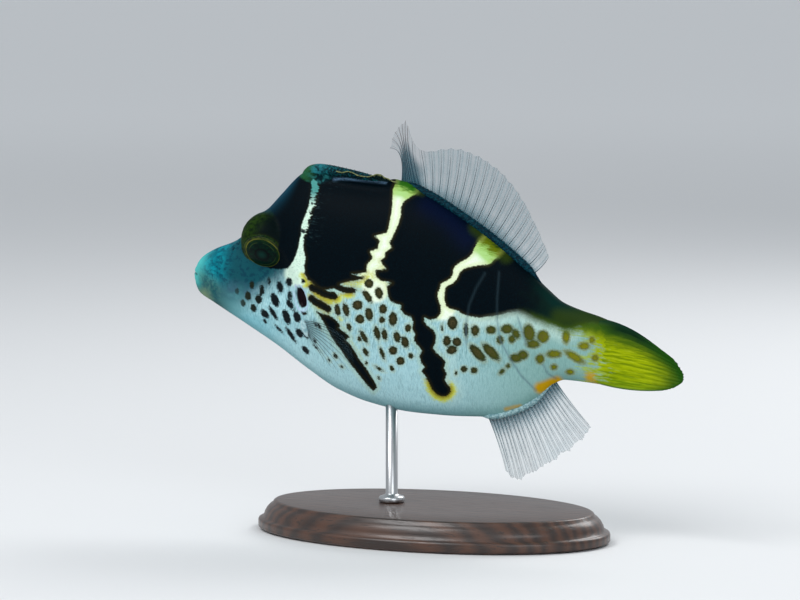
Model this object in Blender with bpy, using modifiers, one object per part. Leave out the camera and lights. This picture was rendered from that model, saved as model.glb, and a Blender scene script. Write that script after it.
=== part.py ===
"""Mimic filefish, life size, posed as it swims, on a display stand with one rod."""

import math

import bmesh
import bpy
from mathutils import Matrix, Vector

MM = 0.001
GAP = 0.3  # millimetres left between pieces that touch

# The fish is drawn in millimetres in a frame of its own: s runs back from the tip of the snout along the
# body, y runs to the fish's right, and h runs up. It faces -X, and its left flank faces -Y.
BODY_LENGTH = 75.0
BACK = [
    (0, 1.5), (0.4, 2.4), (1.2, 3.6), (3.3, 5.2), (7.7, 7.6), (12.8, 13.5), (17.3, 18.7), (19.5, 20.0),
    (22, 20.4), (30, 20.5), (38.5, 20.8), (42, 20.0), (46, 18.5), (54, 14.9), (61.5, 10.6), (65, 8.3),
    (68, 6.6), (71, 5.9), (BODY_LENGTH, 5.3),
]
BELLY = [
    (0, 0.2), (0.5, -0.8), (1.6, -1.8), (4.1, -3.0), (11.4, -6.6), (17.4, -9.1), (23.6, -12.1), (29.6, -14.5),
    (35.4, -15.6), (41, -15.9), (48.4, -15.4), (55, -14.5), (58.5, -13.8), (61.8, -12.4), (65.1, -10.1),
    (68, -6.8), (70, -5.8), (BODY_LENGTH, -5.5),
]
HALF_WIDTH = [
    (0, 0.9), (0.6, 1.9), (2, 2.7), (5, 3.4), (10, 4.4), (15, 5.3), (20, 6.2), (26, 6.9), (34, 7.0),
    (42, 6.4), (50, 5.3), (58, 4.1), (65, 3.0), (70, 2.3), (BODY_LENGTH, 1.7),
]
WIDEST_AT = [(0, 0.8), (5, 1.2), (12, 3.0), (20, 4.0), (30, 3.2), (45, 1.5), (60, -0.5), (BODY_LENGTH, -0.1)]
BACK_ROUNDNESS = [(0, 2.3), (10, 2.0), (BODY_LENGTH, 2.0)]
BELLY_ROUNDNESS = [(0, 2.2), (12, 1.9), (25, 1.6), (60, 1.45), (67, 1.7), (BODY_LENGTH, 2.0)]
SNOUT_STATIONS = [0, 0.25, 0.7, 1.4, 2.4, 3.8]
STATION_STEP = 2.3
SIDES_PER_FLANK = 15

# Where the body is parted: a cut runs down behind the gill slit, one along under the flank, and one
# ahead of the tail.
HEAD_CUT = (26.4, 0.0)
HEAD_CUT_LEAN = 8.0
BELLY_CUT = (27.0, -5.6)
BELLY_CUT_SLOPE = 18.5
TAIL_CUT = 67.2

EYE = (14.55, 2.3, 8.7)  # centre of an eye's turret, its y counted outwards
TURRET_RADIUS = 4.75
EYE_RADIUS = 3.45
EYE_FORWARD = 1.95  # how far the eyeball's centre lies from the turret's, along its gaze
GAZE = (0.22, 0.81, -0.54)  # back, outwards and down
RIM_RADIUS = 3.45
RIM_THICKNESS = 0.4

MOUTH = (0.35, 0.0, 0.75)
MOUTH_TILT = 14.0
LIP_HALF_WIDTH = 1.75
LIP_HALF_HEIGHT = 1.15
LIP_THICKNESS = 0.5
LIP_CURVE = 0.3
SLIT = (2.2, 2.3, 0.3)  # half sizes of the cut that opens the mouth
NOSTRILS = [(8.3, 6.2), (9.2, 7.3)]
NOSTRIL_RADIUS = 0.42
GILL_SLIT = (24.1, 0.6)
GILL_SLIT_SIZE = (0.55, 1.2, 1.75)
GILL_SLIT_LEAN = 30.0

SPINE_LINE = [
    (19.9, 20.9, 0.35), (20.4, 21.2, 0.72), (21.6, 21.6, 0.86), (24, 21.75, 0.84), (28, 21.7, 0.76),
    (31, 21.55, 0.62), (33.5, 21.4, 0.45), (35.2, 21.35, 0.22),
]
SPINE_BARBS = 7
BARBED_FROM, BARBED_TO = 22.5, 33.5
BARB_LENGTH = 0.75
BARB_RADIUS = 0.26

DORSAL_BASE = (36.7, 61.9)
DORSAL_RAYS = 26
DORSAL_LENGTH = [
    (0, 5.7), (0.04, 8.2), (0.08, 9.9), (0.11, 10.4), (0.155, 8.0), (0.2, 7.0), (0.28, 7.9), (0.37, 9.4),
    (0.5, 10.2), (0.65, 9.6), (0.84, 7.0), (1, 4.4),
]
DORSAL_LEAN = [
    (0, -30), (0.08, -20), (0.155, -20), (0.2, -15), (0.28, -2), (0.37, 8), (0.55, 21), (0.74, 33), (1, 44),
]
DORSAL_BEND = [(0, -4), (0.15, -7), (0.2, -4), (0.37, 6), (0.7, 12), (1, 8)]

ANAL_BASE = (56.6, 67.9)
ANAL_RAYS = 23
ANAL_LENGTH = [(0, 9.3), (0.15, 10.9), (0.5, 10.2), (0.75, 9.8), (1, 8.6)]
ANAL_LEAN = [(0, 25), (0.3, 26), (0.5, 32), (0.75, 41), (1, 51)]
ANAL_BEND = [(0, -1), (0.16, -5), (0.32, -3), (0.63, 6), (0.86, -4), (1, 0)]

TAIL_RAYS = 12
TAIL_ROOT = (75.4, 5.2, -5.4)
TAIL_MARGIN_S = [(0, 87.4), (0.25, 89.1), (0.62, 90.2), (0.85, 89.3), (1, 87.8)]
TAIL_MARGIN_H = [(0, 0.7), (0.25, -0.6), (0.62, -2.3), (0.85, -3.5), (1, -4.3)]
TAIL_BULGE = (0.8, 0.45)  # how far the upper and lower edges bow out
TAIL_PLEAT = 0.28
TAIL_FLESH_TO = 0.45  # share of the tail's length that the body's flesh runs out over

PECTORAL_RAYS = 11
PECTORAL_ROOT = [(25.3, -2.9), (26.1, -5.3)]
PECTORAL_LENGTH = [(0, 7.4), (0.3, 8.9), (0.7, 9.4), (1, 8.0)]
PECTORAL_LEAN = [(0, 18), (1, 52)]
PECTORAL_SPREAD = 13.0
PECTORAL_CUP = 0.8

MEMBRANE = 0.52
RAY = 0.9
RAY_TAPER = 0.25
ROOT_CLEAR = GAP + 0.16  # from the skin to the middle of a fin's root, which is as thick as its rays
SCALLOP = 0.05  # how far the margin draws in between two rays, as a share of their length

# The pose of the fish, and the stand that holds it, in millimetres above the table.
HEAD_UP = 7.0
SNOUT_AT = (-44.7, 0.0, 41.2)
STAND_LENGTH, STAND_WIDTH, STAND_HEIGHT = 62.0, 38.0, 5.0
STAND_SIDES = 64
# The base's moulded edge from below: how far in from the widest line, and how high.
STAND_PROFILE = [
    (1.1, 0), (0.46, 0.25), (0, 0.55), (0, 1.5), (0.46, 1.95), (0.95, 2.1), (1.18, 2.9), (1.61, 3.6),
    (2.17, 4.15), (2.68, 4.4), (2.79, 4.75), (3.1, 4.93), (3.6, STAND_HEIGHT),
]
ROD_RADIUS = 1.0
ROD_UNDER = 39.5
ROD_INTO_BELLY = 3.6
ROD_INTO_BASE = 3.0

COLOURS = {
    "head": ((0.05, 0.09, 0.11), 0.5),
    "trunk": ((0.02, 0.025, 0.03), 0.5),
    "belly": ((0.72, 0.8, 0.8), 0.5),
    "peduncle": ((0.5, 0.55, 0.2), 0.5),
    "eye": ((0.03, 0.05, 0.04), 0.15),
    "dorsal_spine": ((0.05, 0.12, 0.13), 0.5),
    "dorsal_fin": ((0.1, 0.2, 0.22), 0.4),
    "anal_fin": ((0.25, 0.3, 0.3), 0.4),
    "pectoral_fin": ((0.5, 0.58, 0.58), 0.4),
    "tail_fin": ((0.6, 0.65, 0.05), 0.45),
    "stand_base": ((0.02, 0.02, 0.022), 0.4),
    "stand_rod": ((0.6, 0.6, 0.6), 0.25),
}


def smooth_line(points):
    """A function through (position, value) points that is smooth and doesn't overshoot them."""
    xs = [p[0] for p in points]
    ys = [p[1] for p in points]
    secants = [(ys[i + 1] - ys[i]) / (xs[i + 1] - xs[i]) for i in range(len(xs) - 1)]
    slopes = [secants[0]]
    for before, after in zip(secants, secants[1:]):
        slopes.append(0.0 if before * after <= 0 else 2 * before * after / (before + after))
    slopes.append(secants[-1])

    def value(x):
        x = min(max(x, xs[0]), xs[-1])
        i = max(k for k in range(len(xs) - 1) if xs[k] <= x)
        step = xs[i + 1] - xs[i]
        t = (x - xs[i]) / step
        return (
            ys[i] * (2 * t**3 - 3 * t**2 + 1)
            + slopes[i] * step * (t**3 - 2 * t**2 + t)
            + ys[i + 1] * (3 * t**2 - 2 * t**3)
            + slopes[i + 1] * step * (t**3 - t**2)
        )

    return value


back_line = smooth_line(BACK)
belly_line = smooth_line(BELLY)
half_width = smooth_line(HALF_WIDTH)
widest_at = smooth_line(WIDEST_AT)
back_roundness = smooth_line(BACK_ROUNDNESS)
belly_roundness = smooth_line(BELLY_ROUNDNESS)


def section_point(s, turn):
    """(y, h) of the right flank at station s. turn runs from 0 on the back to pi under the belly."""
    upper = turn <= math.pi / 2
    roundness = back_roundness(s) if upper else belly_roundness(s)
    reach = (back_line(s) if upper else belly_line(s)) - widest_at(s)
    y = half_width(s) * max(0.0, math.sin(turn)) ** (2 / roundness)
    return y, widest_at(s) + reach * abs(math.cos(turn)) ** (2 / roundness)


def flank(s, h):
    """How far the skin lies from the middle of the fish at station s and height h."""
    upper = h >= widest_at(s)
    roundness = back_roundness(s) if upper else belly_roundness(s)
    reach = (back_line(s) if upper else belly_line(s)) - widest_at(s)
    share = min(1.0, (h - widest_at(s)) / reach)
    return half_width(s) * (1 - share**roundness) ** (1 / roundness)


def clear_scene():
    for obj in list(bpy.data.objects):
        bpy.data.objects.remove(obj, do_unlink=True)


def collection(name):
    made = bpy.data.collections.new(name)
    bpy.context.scene.collection.children.link(made)
    return made


def finish_of(name):
    """The material of the sub-part, from COLOURS, which names each kind once."""
    kind = next(k for k in COLOURS if name.startswith(k))
    colour, roughness = COLOURS[kind]
    material = bpy.data.materials.new(name)
    material.use_nodes = True
    shader = material.node_tree.nodes["Principled BSDF"]
    shader.inputs["Base Color"].default_value = (*colour, 1.0)
    shader.inputs["Roughness"].default_value = roughness
    shader.inputs["Metallic"].default_value = 1.0 if kind == "stand_rod" else 0.0
    return material


def object_from(bm, name, group):
    """A new object from a bmesh in millimetres, in metres and with outward faces."""
    bmesh.ops.recalc_face_normals(bm, faces=bm.faces)
    bmesh.ops.scale(bm, vec=Vector((MM, MM, MM)), verts=bm.verts)
    mesh = bpy.data.meshes.new(name)
    bm.to_mesh(mesh)
    bm.free()
    obj = bpy.data.objects.new(name, mesh)
    group.objects.link(obj)
    return obj


def ball(name, group, matrix, radius=1.0, segments=24):
    """A sphere placed by a matrix in millimetres, with half as many rings as segments."""
    bm = bmesh.new()
    bmesh.ops.create_uvsphere(bm, u_segments=segments, v_segments=segments // 2, radius=radius, matrix=matrix)
    return object_from(bm, name, group)


def tidy(obj, weld=0.0):
    """Makes every face a triangle, after joining corners that lie within weld millimetres."""
    bm = bmesh.new()
    bm.from_mesh(obj.data)
    if weld:
        bmesh.ops.remove_doubles(bm, verts=bm.verts, dist=weld * MM)
        bmesh.ops.dissolve_degenerate(bm, edges=bm.edges, dist=weld * MM)
    bmesh.ops.triangulate(bm, faces=bm.faces)
    bmesh.ops.recalc_face_normals(bm, faces=bm.faces)
    bm.to_mesh(obj.data)
    bm.free()


def boolean(obj, pieces, operation, solver="EXACT"):
    """Joins or cuts obj with all the pieces at once, applies it, and removes them."""
    group = bpy.data.collections.new("pieces")
    for piece in pieces:
        tidy(piece)
        group.objects.link(piece)
    tidy(obj)
    modifier = obj.modifiers.new(operation.lower(), "BOOLEAN")
    modifier.operand_type = "COLLECTION"
    modifier.collection = group
    modifier.operation = operation
    modifier.solver = solver
    graph = bpy.context.evaluated_depsgraph_get()
    mesh = bpy.data.meshes.new_from_object(obj.evaluated_get(graph))
    obj.modifiers.clear()
    obj.data = mesh
    for piece in pieces:
        bpy.data.objects.remove(piece, do_unlink=True)
    bpy.data.collections.remove(group)
    tidy(obj, weld=0.004)
    keep_largest(obj)


def keep_largest(obj):
    """Leaves only the largest closed surface of obj."""
    bm = bmesh.new()
    bm.from_mesh(obj.data)
    left = set(bm.verts)
    groups = []
    while left:
        group, edge = set(), [left.pop()]
        while edge:
            vert = edge.pop()
            group.add(vert)
            near = {e.other_vert(vert) for e in vert.link_edges} & left
            left -= near
            edge.extend(near)
        groups.append(group)
    groups.sort(key=len)
    loose = [v for group in groups[:-1] for v in group]
    bmesh.ops.delete(bm, geom=loose, context="VERTS")
    bm.to_mesh(obj.data)
    bm.free()


def body_loft(group):
    """The whole body, snout to tail root, as one closed loft of egg-shaped sections."""
    steps = math.ceil((BODY_LENGTH - SNOUT_STATIONS[-1]) / STATION_STEP)
    rest = (BODY_LENGTH - SNOUT_STATIONS[-1]) / steps
    stations = SNOUT_STATIONS + [SNOUT_STATIONS[-1] + rest * (i + 1) for i in range(steps)]
    bm = bmesh.new()
    rings = []
    for s in stations:
        right = [section_point(s, math.pi * k / SIDES_PER_FLANK) for k in range(SIDES_PER_FLANK + 1)]
        outline = right + [(-y, h) for y, h in reversed(right[1:-1])]
        rings.append([bm.verts.new((s, y, h)) for y, h in outline])
    for fore, aft in zip(rings, rings[1:]):
        for k in range(len(fore)):
            n = (k + 1) % len(fore)
            bm.faces.new((fore[k], fore[n], aft[n], aft[k]))
    tip = bm.verts.new((-0.12, 0.0, WIDEST_AT[0][1]))
    for k in range(len(rings[0])):
        bm.faces.new((tip, rings[0][(k + 1) % len(rings[0])], rings[0][k]))
    bm.faces.new(rings[-1])
    return object_from(bm, "body", group)


def eye_frame(side):
    """Places the eye: its origin at the turret's centre and its Z along the gaze."""
    s, y, h = EYE
    gaze = Vector((GAZE[0], side * GAZE[1], GAZE[2])).normalized()
    turned = gaze.to_track_quat("Z", "Y").to_matrix().to_4x4()
    return Matrix.Translation((s, side * y, h)) @ turned


def add_eye_turrets(body, group):
    """Swells the head round each eye, with a raised rim, and opens the socket."""
    swells, sockets = [], []
    for side in (-1, 1):
        frame = eye_frame(side)
        swells.append(ball("turret", group, frame, TURRET_RADIUS, segments=28))
        height = math.sqrt(TURRET_RADIUS**2 - RIM_RADIUS**2)
        bpy.ops.mesh.primitive_torus_add(
            major_radius=RIM_RADIUS * MM, minor_radius=RIM_THICKNESS * MM, major_segments=28, minor_segments=8
        )
        rim = bpy.context.object
        rim.data.transform(Matrix.Translation((0, 0, height * MM)))
        placed = frame.copy()
        placed.translation *= MM
        rim.data.transform(placed)
        swells.append(rim)
        socket = frame @ Matrix.Translation((0, 0, EYE_FORWARD))
        sockets.append(ball("socket", group, socket, EYE_RADIUS + GAP))
    boolean(body, swells, "UNION")
    boolean(body, sockets, "DIFFERENCE")


def add_mouth(body, group):
    """Rolls the lips round the tip of the snout and opens the line between them."""
    tilt = Matrix.Rotation(math.radians(MOUTH_TILT), 4, "Y")
    bpy.ops.mesh.primitive_torus_add(
        major_radius=MM, minor_radius=LIP_THICKNESS * MM, major_segments=24, minor_segments=8
    )
    lips = bpy.context.object
    for vert in lips.data.vertices:
        across, along, up = vert.co / MM
        reach = math.hypot(across, along)
        out = reach - 1.0
        turn = math.atan2(along, across)
        up_down = math.cos(turn) * (LIP_HALF_HEIGHT + out)
        sideways = math.sin(turn) * (LIP_HALF_WIDTH + out)
        # The lips curve back round the snout towards the corners of the mouth.
        back = LIP_CURVE * sideways**2
        vert.co = Vector((back + up, sideways, up_down)) * MM
    centre = Vector(MOUTH) * MM
    lips.data.transform(Matrix.Translation(centre) @ tilt)
    bm = bmesh.new()
    bm.from_mesh(lips.data)
    bmesh.ops.recalc_face_normals(bm, faces=bm.faces)
    bm.to_mesh(lips.data)
    bm.free()
    boolean(body, [lips], "UNION")
    placed = Matrix.Translation((0.0, 0.0, MOUTH[2])) @ tilt @ Matrix.Diagonal((*SLIT, 1.0))
    boolean(body, [ball("slit", group, placed, segments=20)], "DIFFERENCE")


def open_gills_and_nostrils(body, group):
    cutters = []
    lean = Matrix.Rotation(math.radians(-GILL_SLIT_LEAN), 4, "Y")
    for side in (-1, 1):
        s, h = GILL_SLIT
        shaped = lean @ Matrix.Diagonal((*GILL_SLIT_SIZE, 1.0))
        placed = Matrix.Translation((s, side * flank(s, h), h)) @ shaped
        cutters.append(ball("gill_slit", group, placed, segments=16))
        for s, h in NOSTRILS:
            placed = Matrix.Translation((s, side * flank(s, h), h))
            cutters.append(ball("nostril", group, placed, NOSTRIL_RADIUS, segments=10))
    boolean(body, cutters, "DIFFERENCE")


def part_off(body, name, planes, group):
    """A copy of the body, cut back by each (point, outward normal) plane in millimetres and capped."""
    bm = bmesh.new()
    bm.from_mesh(body.data)
    for point, normal in planes:
        everything = bm.verts[:] + bm.edges[:] + bm.faces[:]
        bmesh.ops.bisect_plane(
            bm, geom=everything, plane_co=Vector(point) * MM, plane_no=normal, clear_outer=True
        )
        rim = [e for e in bm.edges if e.is_boundary]
        bmesh.ops.holes_fill(bm, edges=rim, sides=0)
    bmesh.ops.recalc_face_normals(bm, faces=bm.faces)
    mesh = bpy.data.meshes.new(name)
    bm.to_mesh(mesh)
    bm.free()
    obj = bpy.data.objects.new(name, mesh)
    group.objects.link(obj)
    return obj


def part_body(body, group):
    """Parts the body into head, trunk, belly and tail root with thin cuts."""
    lean, slope = math.radians(HEAD_CUT_LEAN), math.radians(BELLY_CUT_SLOPE)
    back_of_head = Vector((math.cos(lean), 0, math.sin(lean)))
    under_flank = Vector((-math.sin(slope), 0, -math.cos(slope)))
    head_cut = Vector((HEAD_CUT[0], 0, HEAD_CUT[1]))
    belly_cut = Vector((BELLY_CUT[0], 0, BELLY_CUT[1]))
    tail_cut, aft, half = Vector((TAIL_CUT, 0, 0)), Vector((1, 0, 0)), GAP / 2
    ahead_of_trunk = (head_cut + back_of_head * half, -back_of_head)
    part_off(body, "head", [(head_cut - back_of_head * half, back_of_head)], group)
    part_off(
        body,
        "trunk",
        [ahead_of_trunk, (belly_cut - under_flank * half, under_flank), (tail_cut - aft * half, aft)],
        group,
    )
    part_off(body, "belly", [ahead_of_trunk, (belly_cut + under_flank * half, -under_flank)], group)
    part_off(body, "peduncle", [(tail_cut + aft * half, -aft)], group)
    bpy.data.objects.remove(body, do_unlink=True)


def make_eyes(group):
    for side, name in ((-1, "eye_left"), (1, "eye_right")):
        placed = eye_frame(side) @ Matrix.Translation((0, 0, EYE_FORWARD))
        ball(name, group, placed, EYE_RADIUS)


def rayed_fin(name, group, rays, rows, place, thickness):
    """A thin fin with raised rays: an open sheet with two columns to a ray, thickened by Solidify.

    place(u, v) gives a point in millimetres, u from the first ray to the last and v from root to margin, and
    thickness(u, v, on_ray) the depth there.
    """
    columns = 2 * rays - 1
    bm = bmesh.new()
    bmesh.ops.create_grid(bm, x_segments=columns - 1, y_segments=rows - 1, size=0.5)
    bm.verts.ensure_lookup_table()
    deepest = max(thickness(u / 10, 0, True) for u in range(11))
    shares = []
    for vert in bm.verts:
        column = round((vert.co.x + 0.5) * (columns - 1))
        row = round((vert.co.y + 0.5) * (rows - 1))
        on_ray = column % 2 == 0
        u, v = column / (columns - 1), row / (rows - 1)
        reach = v if on_ray else v * (1 - SCALLOP * v)
        vert.co = place(u, reach)
        shares.append(thickness(u, v, on_ray) / deepest)
    # Both faces of the sheet are split along the same diagonals, so that they never cross.
    bmesh.ops.triangulate(bm, faces=bm.faces)
    obj = object_from(bm, name, group)
    depth = obj.vertex_groups.new(name="depth")
    for index, share in enumerate(shares):
        depth.add([index], share, "REPLACE")
    solid = obj.modifiers.new("thickness", "SOLIDIFY")
    solid.thickness = deepest * MM
    solid.offset = 0.0
    solid.vertex_group = depth.name
    return obj


def thin_fin(u, v, on_ray):
    """Depth of a soft fin: a plain membrane with rays that thin towards the margin."""
    return RAY - RAY_TAPER * v if on_ray else MEMBRANE


def median_fin(name, group, base, outline, up, rays, lengths, leans, bends):
    """A dorsal or anal fin along the outline of the back or belly, its rays leaning and waving."""
    length, lean, bend = smooth_line(lengths), smooth_line(leans), smooth_line(bends)

    def place(u, v):
        s = base[0] + (base[1] - base[0]) * u
        root = Vector((s, 0, outline(s) + up * ROOT_CLEAR))
        back, side = math.radians(lean(u)), math.radians(bend(u))
        reach = length(u) * v
        # A ray leaves its root upright and bends more towards its tip.
        sideways = -math.sin(side) * reach * (0.35 + 0.65 * v)
        rise = math.sqrt(max(0.0, reach**2 - sideways**2))
        return root + Vector((rise * math.sin(back), sideways, up * rise * math.cos(back)))

    return rayed_fin(name, group, rays, 7, place, thin_fin)


def make_tail_fin(group):
    """The tail fin, folded like a closed fan: the rays draw together towards the tip, and lie in pleats."""
    tip_s = smooth_line(TAIL_MARGIN_S)
    tip_h = smooth_line(TAIL_MARGIN_H)
    root_s, root_top, root_bottom = TAIL_ROOT

    def place(u, v):
        s = root_s + (tip_s(u) - root_s) * v
        h = (root_top + (root_bottom - root_top) * u) * (1 - v) + tip_h(u) * v
        bulge = TAIL_BULGE[0] * max(0, 1 - 2 * u) - TAIL_BULGE[1] * max(0, 2 * u - 1)
        on_ray = round(u * (2 * TAIL_RAYS - 2)) % 2 == 0
        pleat = TAIL_PLEAT * (1 if on_ray else -1) * min(1.0, 2 * v)
        return Vector((s, pleat, h + bulge * 4 * v * (1 - v)))

    def thickness(u, v, on_ray):
        round_edge = math.sqrt(max(0.0, 1 - (2 * u - 1) ** 2))
        flesh = (1.8 * half_width(BODY_LENGTH) - RAY) * round_edge
        return flesh * max(0.0, 1 - v / TAIL_FLESH_TO) ** 1.3 + thin_fin(u, v, on_ray)

    rayed_fin("tail_fin", group, TAIL_RAYS, 9, place, thickness)


def make_pectoral_fins(group):
    """The small clear fan behind each gill slit, which beats close to the flank."""
    length, lean = smooth_line(PECTORAL_LENGTH), smooth_line(PECTORAL_LEAN)
    for side, name in ((-1, "pectoral_fin_left"), (1, "pectoral_fin_right")):

        def place(u, v, side=side):
            s = PECTORAL_ROOT[0][0] + (PECTORAL_ROOT[1][0] - PECTORAL_ROOT[0][0]) * u
            h = PECTORAL_ROOT[0][1] + (PECTORAL_ROOT[1][1] - PECTORAL_ROOT[0][1]) * u
            down, out = math.radians(lean(u)), math.radians(PECTORAL_SPREAD)
            reach = length(u) * v
            root_out = flank(s, h) + GAP + RAY / 2
            s += reach * math.cos(down) * math.cos(out)
            h -= reach * math.sin(down) * math.cos(out)
            cupped = PECTORAL_CUP * math.sin(math.pi * u) * v
            return Vector((s, side * (root_out + reach * math.sin(out) + cupped), h))

        rayed_fin(name, group, PECTORAL_RAYS, 6, place, thin_fin)


def make_dorsal_spine(group):
    """The first dorsal spine, folded back along the ridge of the back, with a row of barbs down each side."""
    data = bpy.data.curves.new("dorsal_spine", "CURVE")
    data.dimensions = "3D"
    data.bevel_depth = MM
    data.bevel_resolution = 2
    data.resolution_u = 2
    data.use_fill_caps = True
    line = data.splines.new("NURBS")
    line.points.add(len(SPINE_LINE) - 1)
    line.use_endpoint_u = True
    for point, (s, h, radius) in zip(line.points, SPINE_LINE):
        point.co = (s * MM, 0.0, h * MM, 1.0)
        point.radius = radius
    rod = bpy.data.objects.new("rod", data)
    group.objects.link(rod)
    graph = bpy.context.evaluated_depsgraph_get()
    mesh = bpy.data.meshes.new_from_object(rod.evaluated_get(graph))
    bpy.data.objects.remove(rod, do_unlink=True)
    bm = bmesh.new()
    bm.from_mesh(mesh)
    bmesh.ops.remove_doubles(bm, verts=bm.verts, dist=0.01 * MM)
    bmesh.ops.recalc_face_normals(bm, faces=bm.faces)
    bm.to_mesh(mesh)
    bm.free()
    spine = bpy.data.objects.new("dorsal_spine", mesh)
    group.objects.link(spine)
    height = smooth_line([(s, h) for s, h, radius in SPINE_LINE])
    thick = smooth_line([(s, radius) for s, h, radius in SPINE_LINE])
    barbs = []
    for i in range(SPINE_BARBS):
        s = BARBED_FROM + (BARBED_TO - BARBED_FROM) * i / (SPINE_BARBS - 1)
        for side in (-1, 1):
            aim = Vector((0.75, side, 0.25)).normalized()
            root = Vector((s, side * thick(s) * 0.55, height(s) + 0.1))
            turned = aim.to_track_quat("Z", "Y").to_matrix().to_4x4()
            bm = bmesh.new()
            bmesh.ops.create_cone(
                bm,
                cap_ends=True,
                segments=6,
                radius1=BARB_RADIUS,
                radius2=BARB_RADIUS / 5,
                depth=BARB_LENGTH,
                matrix=Matrix.Translation(root + aim * BARB_LENGTH / 2) @ turned,
            )
            barbs.append(object_from(bm, "barb", group))
    boolean(spine, barbs, "UNION")


def moulded_base():
    """The oval base: its moulded outline is turned, then drawn in from front to back."""
    bm = bmesh.new()
    outline = [(STAND_LENGTH / 2, STAND_HEIGHT)]
    outline += [(inset, height) for inset, height in reversed(STAND_PROFILE)]
    outline.append((STAND_LENGTH / 2, 0))
    corners = [bm.verts.new(((STAND_LENGTH / 2 - inset) * MM, 0, height * MM)) for inset, height in outline]
    for corner, below in zip(corners, corners[1:]):
        bm.edges.new((corner, below))
    mesh = bpy.data.meshes.new("stand_base")
    bm.to_mesh(mesh)
    bm.free()
    base = bpy.data.objects.new("stand_base", mesh)
    turned = base.modifiers.new("turned", "SCREW")
    turned.steps = STAND_SIDES
    turned.render_steps = STAND_SIDES
    turned.use_merge_vertices = True
    turned.merge_threshold = 0.01 * MM
    base.scale.y = STAND_WIDTH / STAND_LENGTH
    return base


def make_stand(group, pose):
    """A flat oval base and one upright rod, let into the belly."""
    under = pose @ Vector((ROD_UNDER * MM, 0, belly_line(ROD_UNDER) * MM))
    base_top = STAND_HEIGHT * MM
    top = under.z + ROD_INTO_BELLY * MM
    bottom = base_top - ROD_INTO_BASE * MM
    base = moulded_base()
    bpy.ops.mesh.primitive_cylinder_add(
        vertices=24, radius=ROD_RADIUS * MM, depth=top - bottom, location=(under.x, 0, (top + bottom) / 2)
    )
    rod = bpy.context.object
    rod.name = "stand_rod"
    bores = []
    spare = ROD_INTO_BELLY * MM
    for depth_from, depth_to in ((bottom - GAP * MM, base_top + spare), (under.z - spare, top + GAP * MM)):
        bpy.ops.mesh.primitive_cylinder_add(
            vertices=24,
            radius=(ROD_RADIUS + GAP) * MM,
            depth=depth_to - depth_from,
            location=(under.x, 0, (depth_to + depth_from) / 2),
        )
        bores.append(bpy.context.object)
    for old in list(rod.users_collection):
        old.objects.unlink(rod)
    for obj in (base, rod):
        group.objects.link(obj)
    return bores


def bore(obj, cutter, cutters):
    """Opens the hole that the rod stands in."""
    for old in list(cutter.users_collection):
        old.objects.unlink(cutter)
    cutters.objects.link(cutter)
    cutter.hide_render = True
    cutter.display_type = "WIRE"
    cut = obj.modifiers.new("rod hole", "BOOLEAN")
    cut.operation = "DIFFERENCE"
    cut.object = cutter
    cut.solver = "EXACT"


def main():
    clear_scene()
    fish = collection("mimic_filefish")
    cutters = collection("cutters")
    body = body_loft(fish)
    add_eye_turrets(body, fish)
    add_mouth(body, fish)
    open_gills_and_nostrils(body, fish)
    part_body(body, fish)
    make_eyes(fish)
    make_dorsal_spine(fish)
    median_fin(
        "dorsal_fin", fish, DORSAL_BASE, back_line, 1, DORSAL_RAYS, DORSAL_LENGTH, DORSAL_LEAN, DORSAL_BEND
    )
    median_fin("anal_fin", fish, ANAL_BASE, belly_line, -1, ANAL_RAYS, ANAL_LENGTH, ANAL_LEAN, ANAL_BEND)
    make_tail_fin(fish)
    make_pectoral_fins(fish)

    pose = bpy.data.objects.new("pose", None)
    fish.objects.link(pose)
    pose.location = Vector(SNOUT_AT) * MM
    pose.rotation_euler = (0, math.radians(HEAD_UP), 0)
    for obj in fish.objects:
        if obj is not pose:
            obj.parent = pose
    bpy.context.view_layer.update()
    base_bore, belly_bore = make_stand(fish, pose.matrix_world)
    bore(bpy.data.objects["stand_base"], base_bore, cutters)
    bore(bpy.data.objects["belly"], belly_bore, cutters)
    for obj in fish.objects:
        if obj.type == "MESH":
            obj.data.materials.clear()
            obj.data.materials.append(finish_of(obj.name))
            obj.data.shade_smooth()


main()
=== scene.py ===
import math

import bmesh
import bpy
import numpy as np
from mathutils import Matrix, Vector


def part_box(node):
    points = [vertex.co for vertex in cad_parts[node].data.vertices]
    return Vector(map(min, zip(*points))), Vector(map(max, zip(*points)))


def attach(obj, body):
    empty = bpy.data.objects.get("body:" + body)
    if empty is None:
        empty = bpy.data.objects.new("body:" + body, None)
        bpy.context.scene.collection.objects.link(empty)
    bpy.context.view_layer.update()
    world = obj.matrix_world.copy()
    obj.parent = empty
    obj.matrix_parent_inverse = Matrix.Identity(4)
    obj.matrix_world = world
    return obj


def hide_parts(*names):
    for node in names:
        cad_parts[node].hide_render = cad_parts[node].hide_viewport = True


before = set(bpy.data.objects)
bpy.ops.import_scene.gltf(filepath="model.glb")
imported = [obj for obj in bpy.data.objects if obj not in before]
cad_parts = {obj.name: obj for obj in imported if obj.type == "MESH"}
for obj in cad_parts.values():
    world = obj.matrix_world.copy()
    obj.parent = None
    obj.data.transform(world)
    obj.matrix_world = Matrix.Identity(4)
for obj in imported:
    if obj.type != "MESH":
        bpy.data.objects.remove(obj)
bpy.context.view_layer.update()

# The view. The fish is seen from its left side, a little from behind and a little from above, through a
# long lens that hardly bends the outline. The same view lays out the markings, drawn in its pixels.
MM = 0.001
PICTURE_WIDTH = 800
PICTURE_MIDDLE = (400, 300)
VIEW_AZIMUTH = math.radians(27.0)
VIEW_ELEVATION = math.radians(5.0)
VIEW_DISTANCE = 600.0
PIXELS_PER_MM = 6.07
SENSOR_MM = 36.0
CLIP_METRES = (0.05, 100.0)
HEAD_UP = math.radians(7.0)
SNOUT_AT = np.array((-44.7, 0.0, 41.2))
SNOUT_PIXEL = (196, 276)

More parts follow.
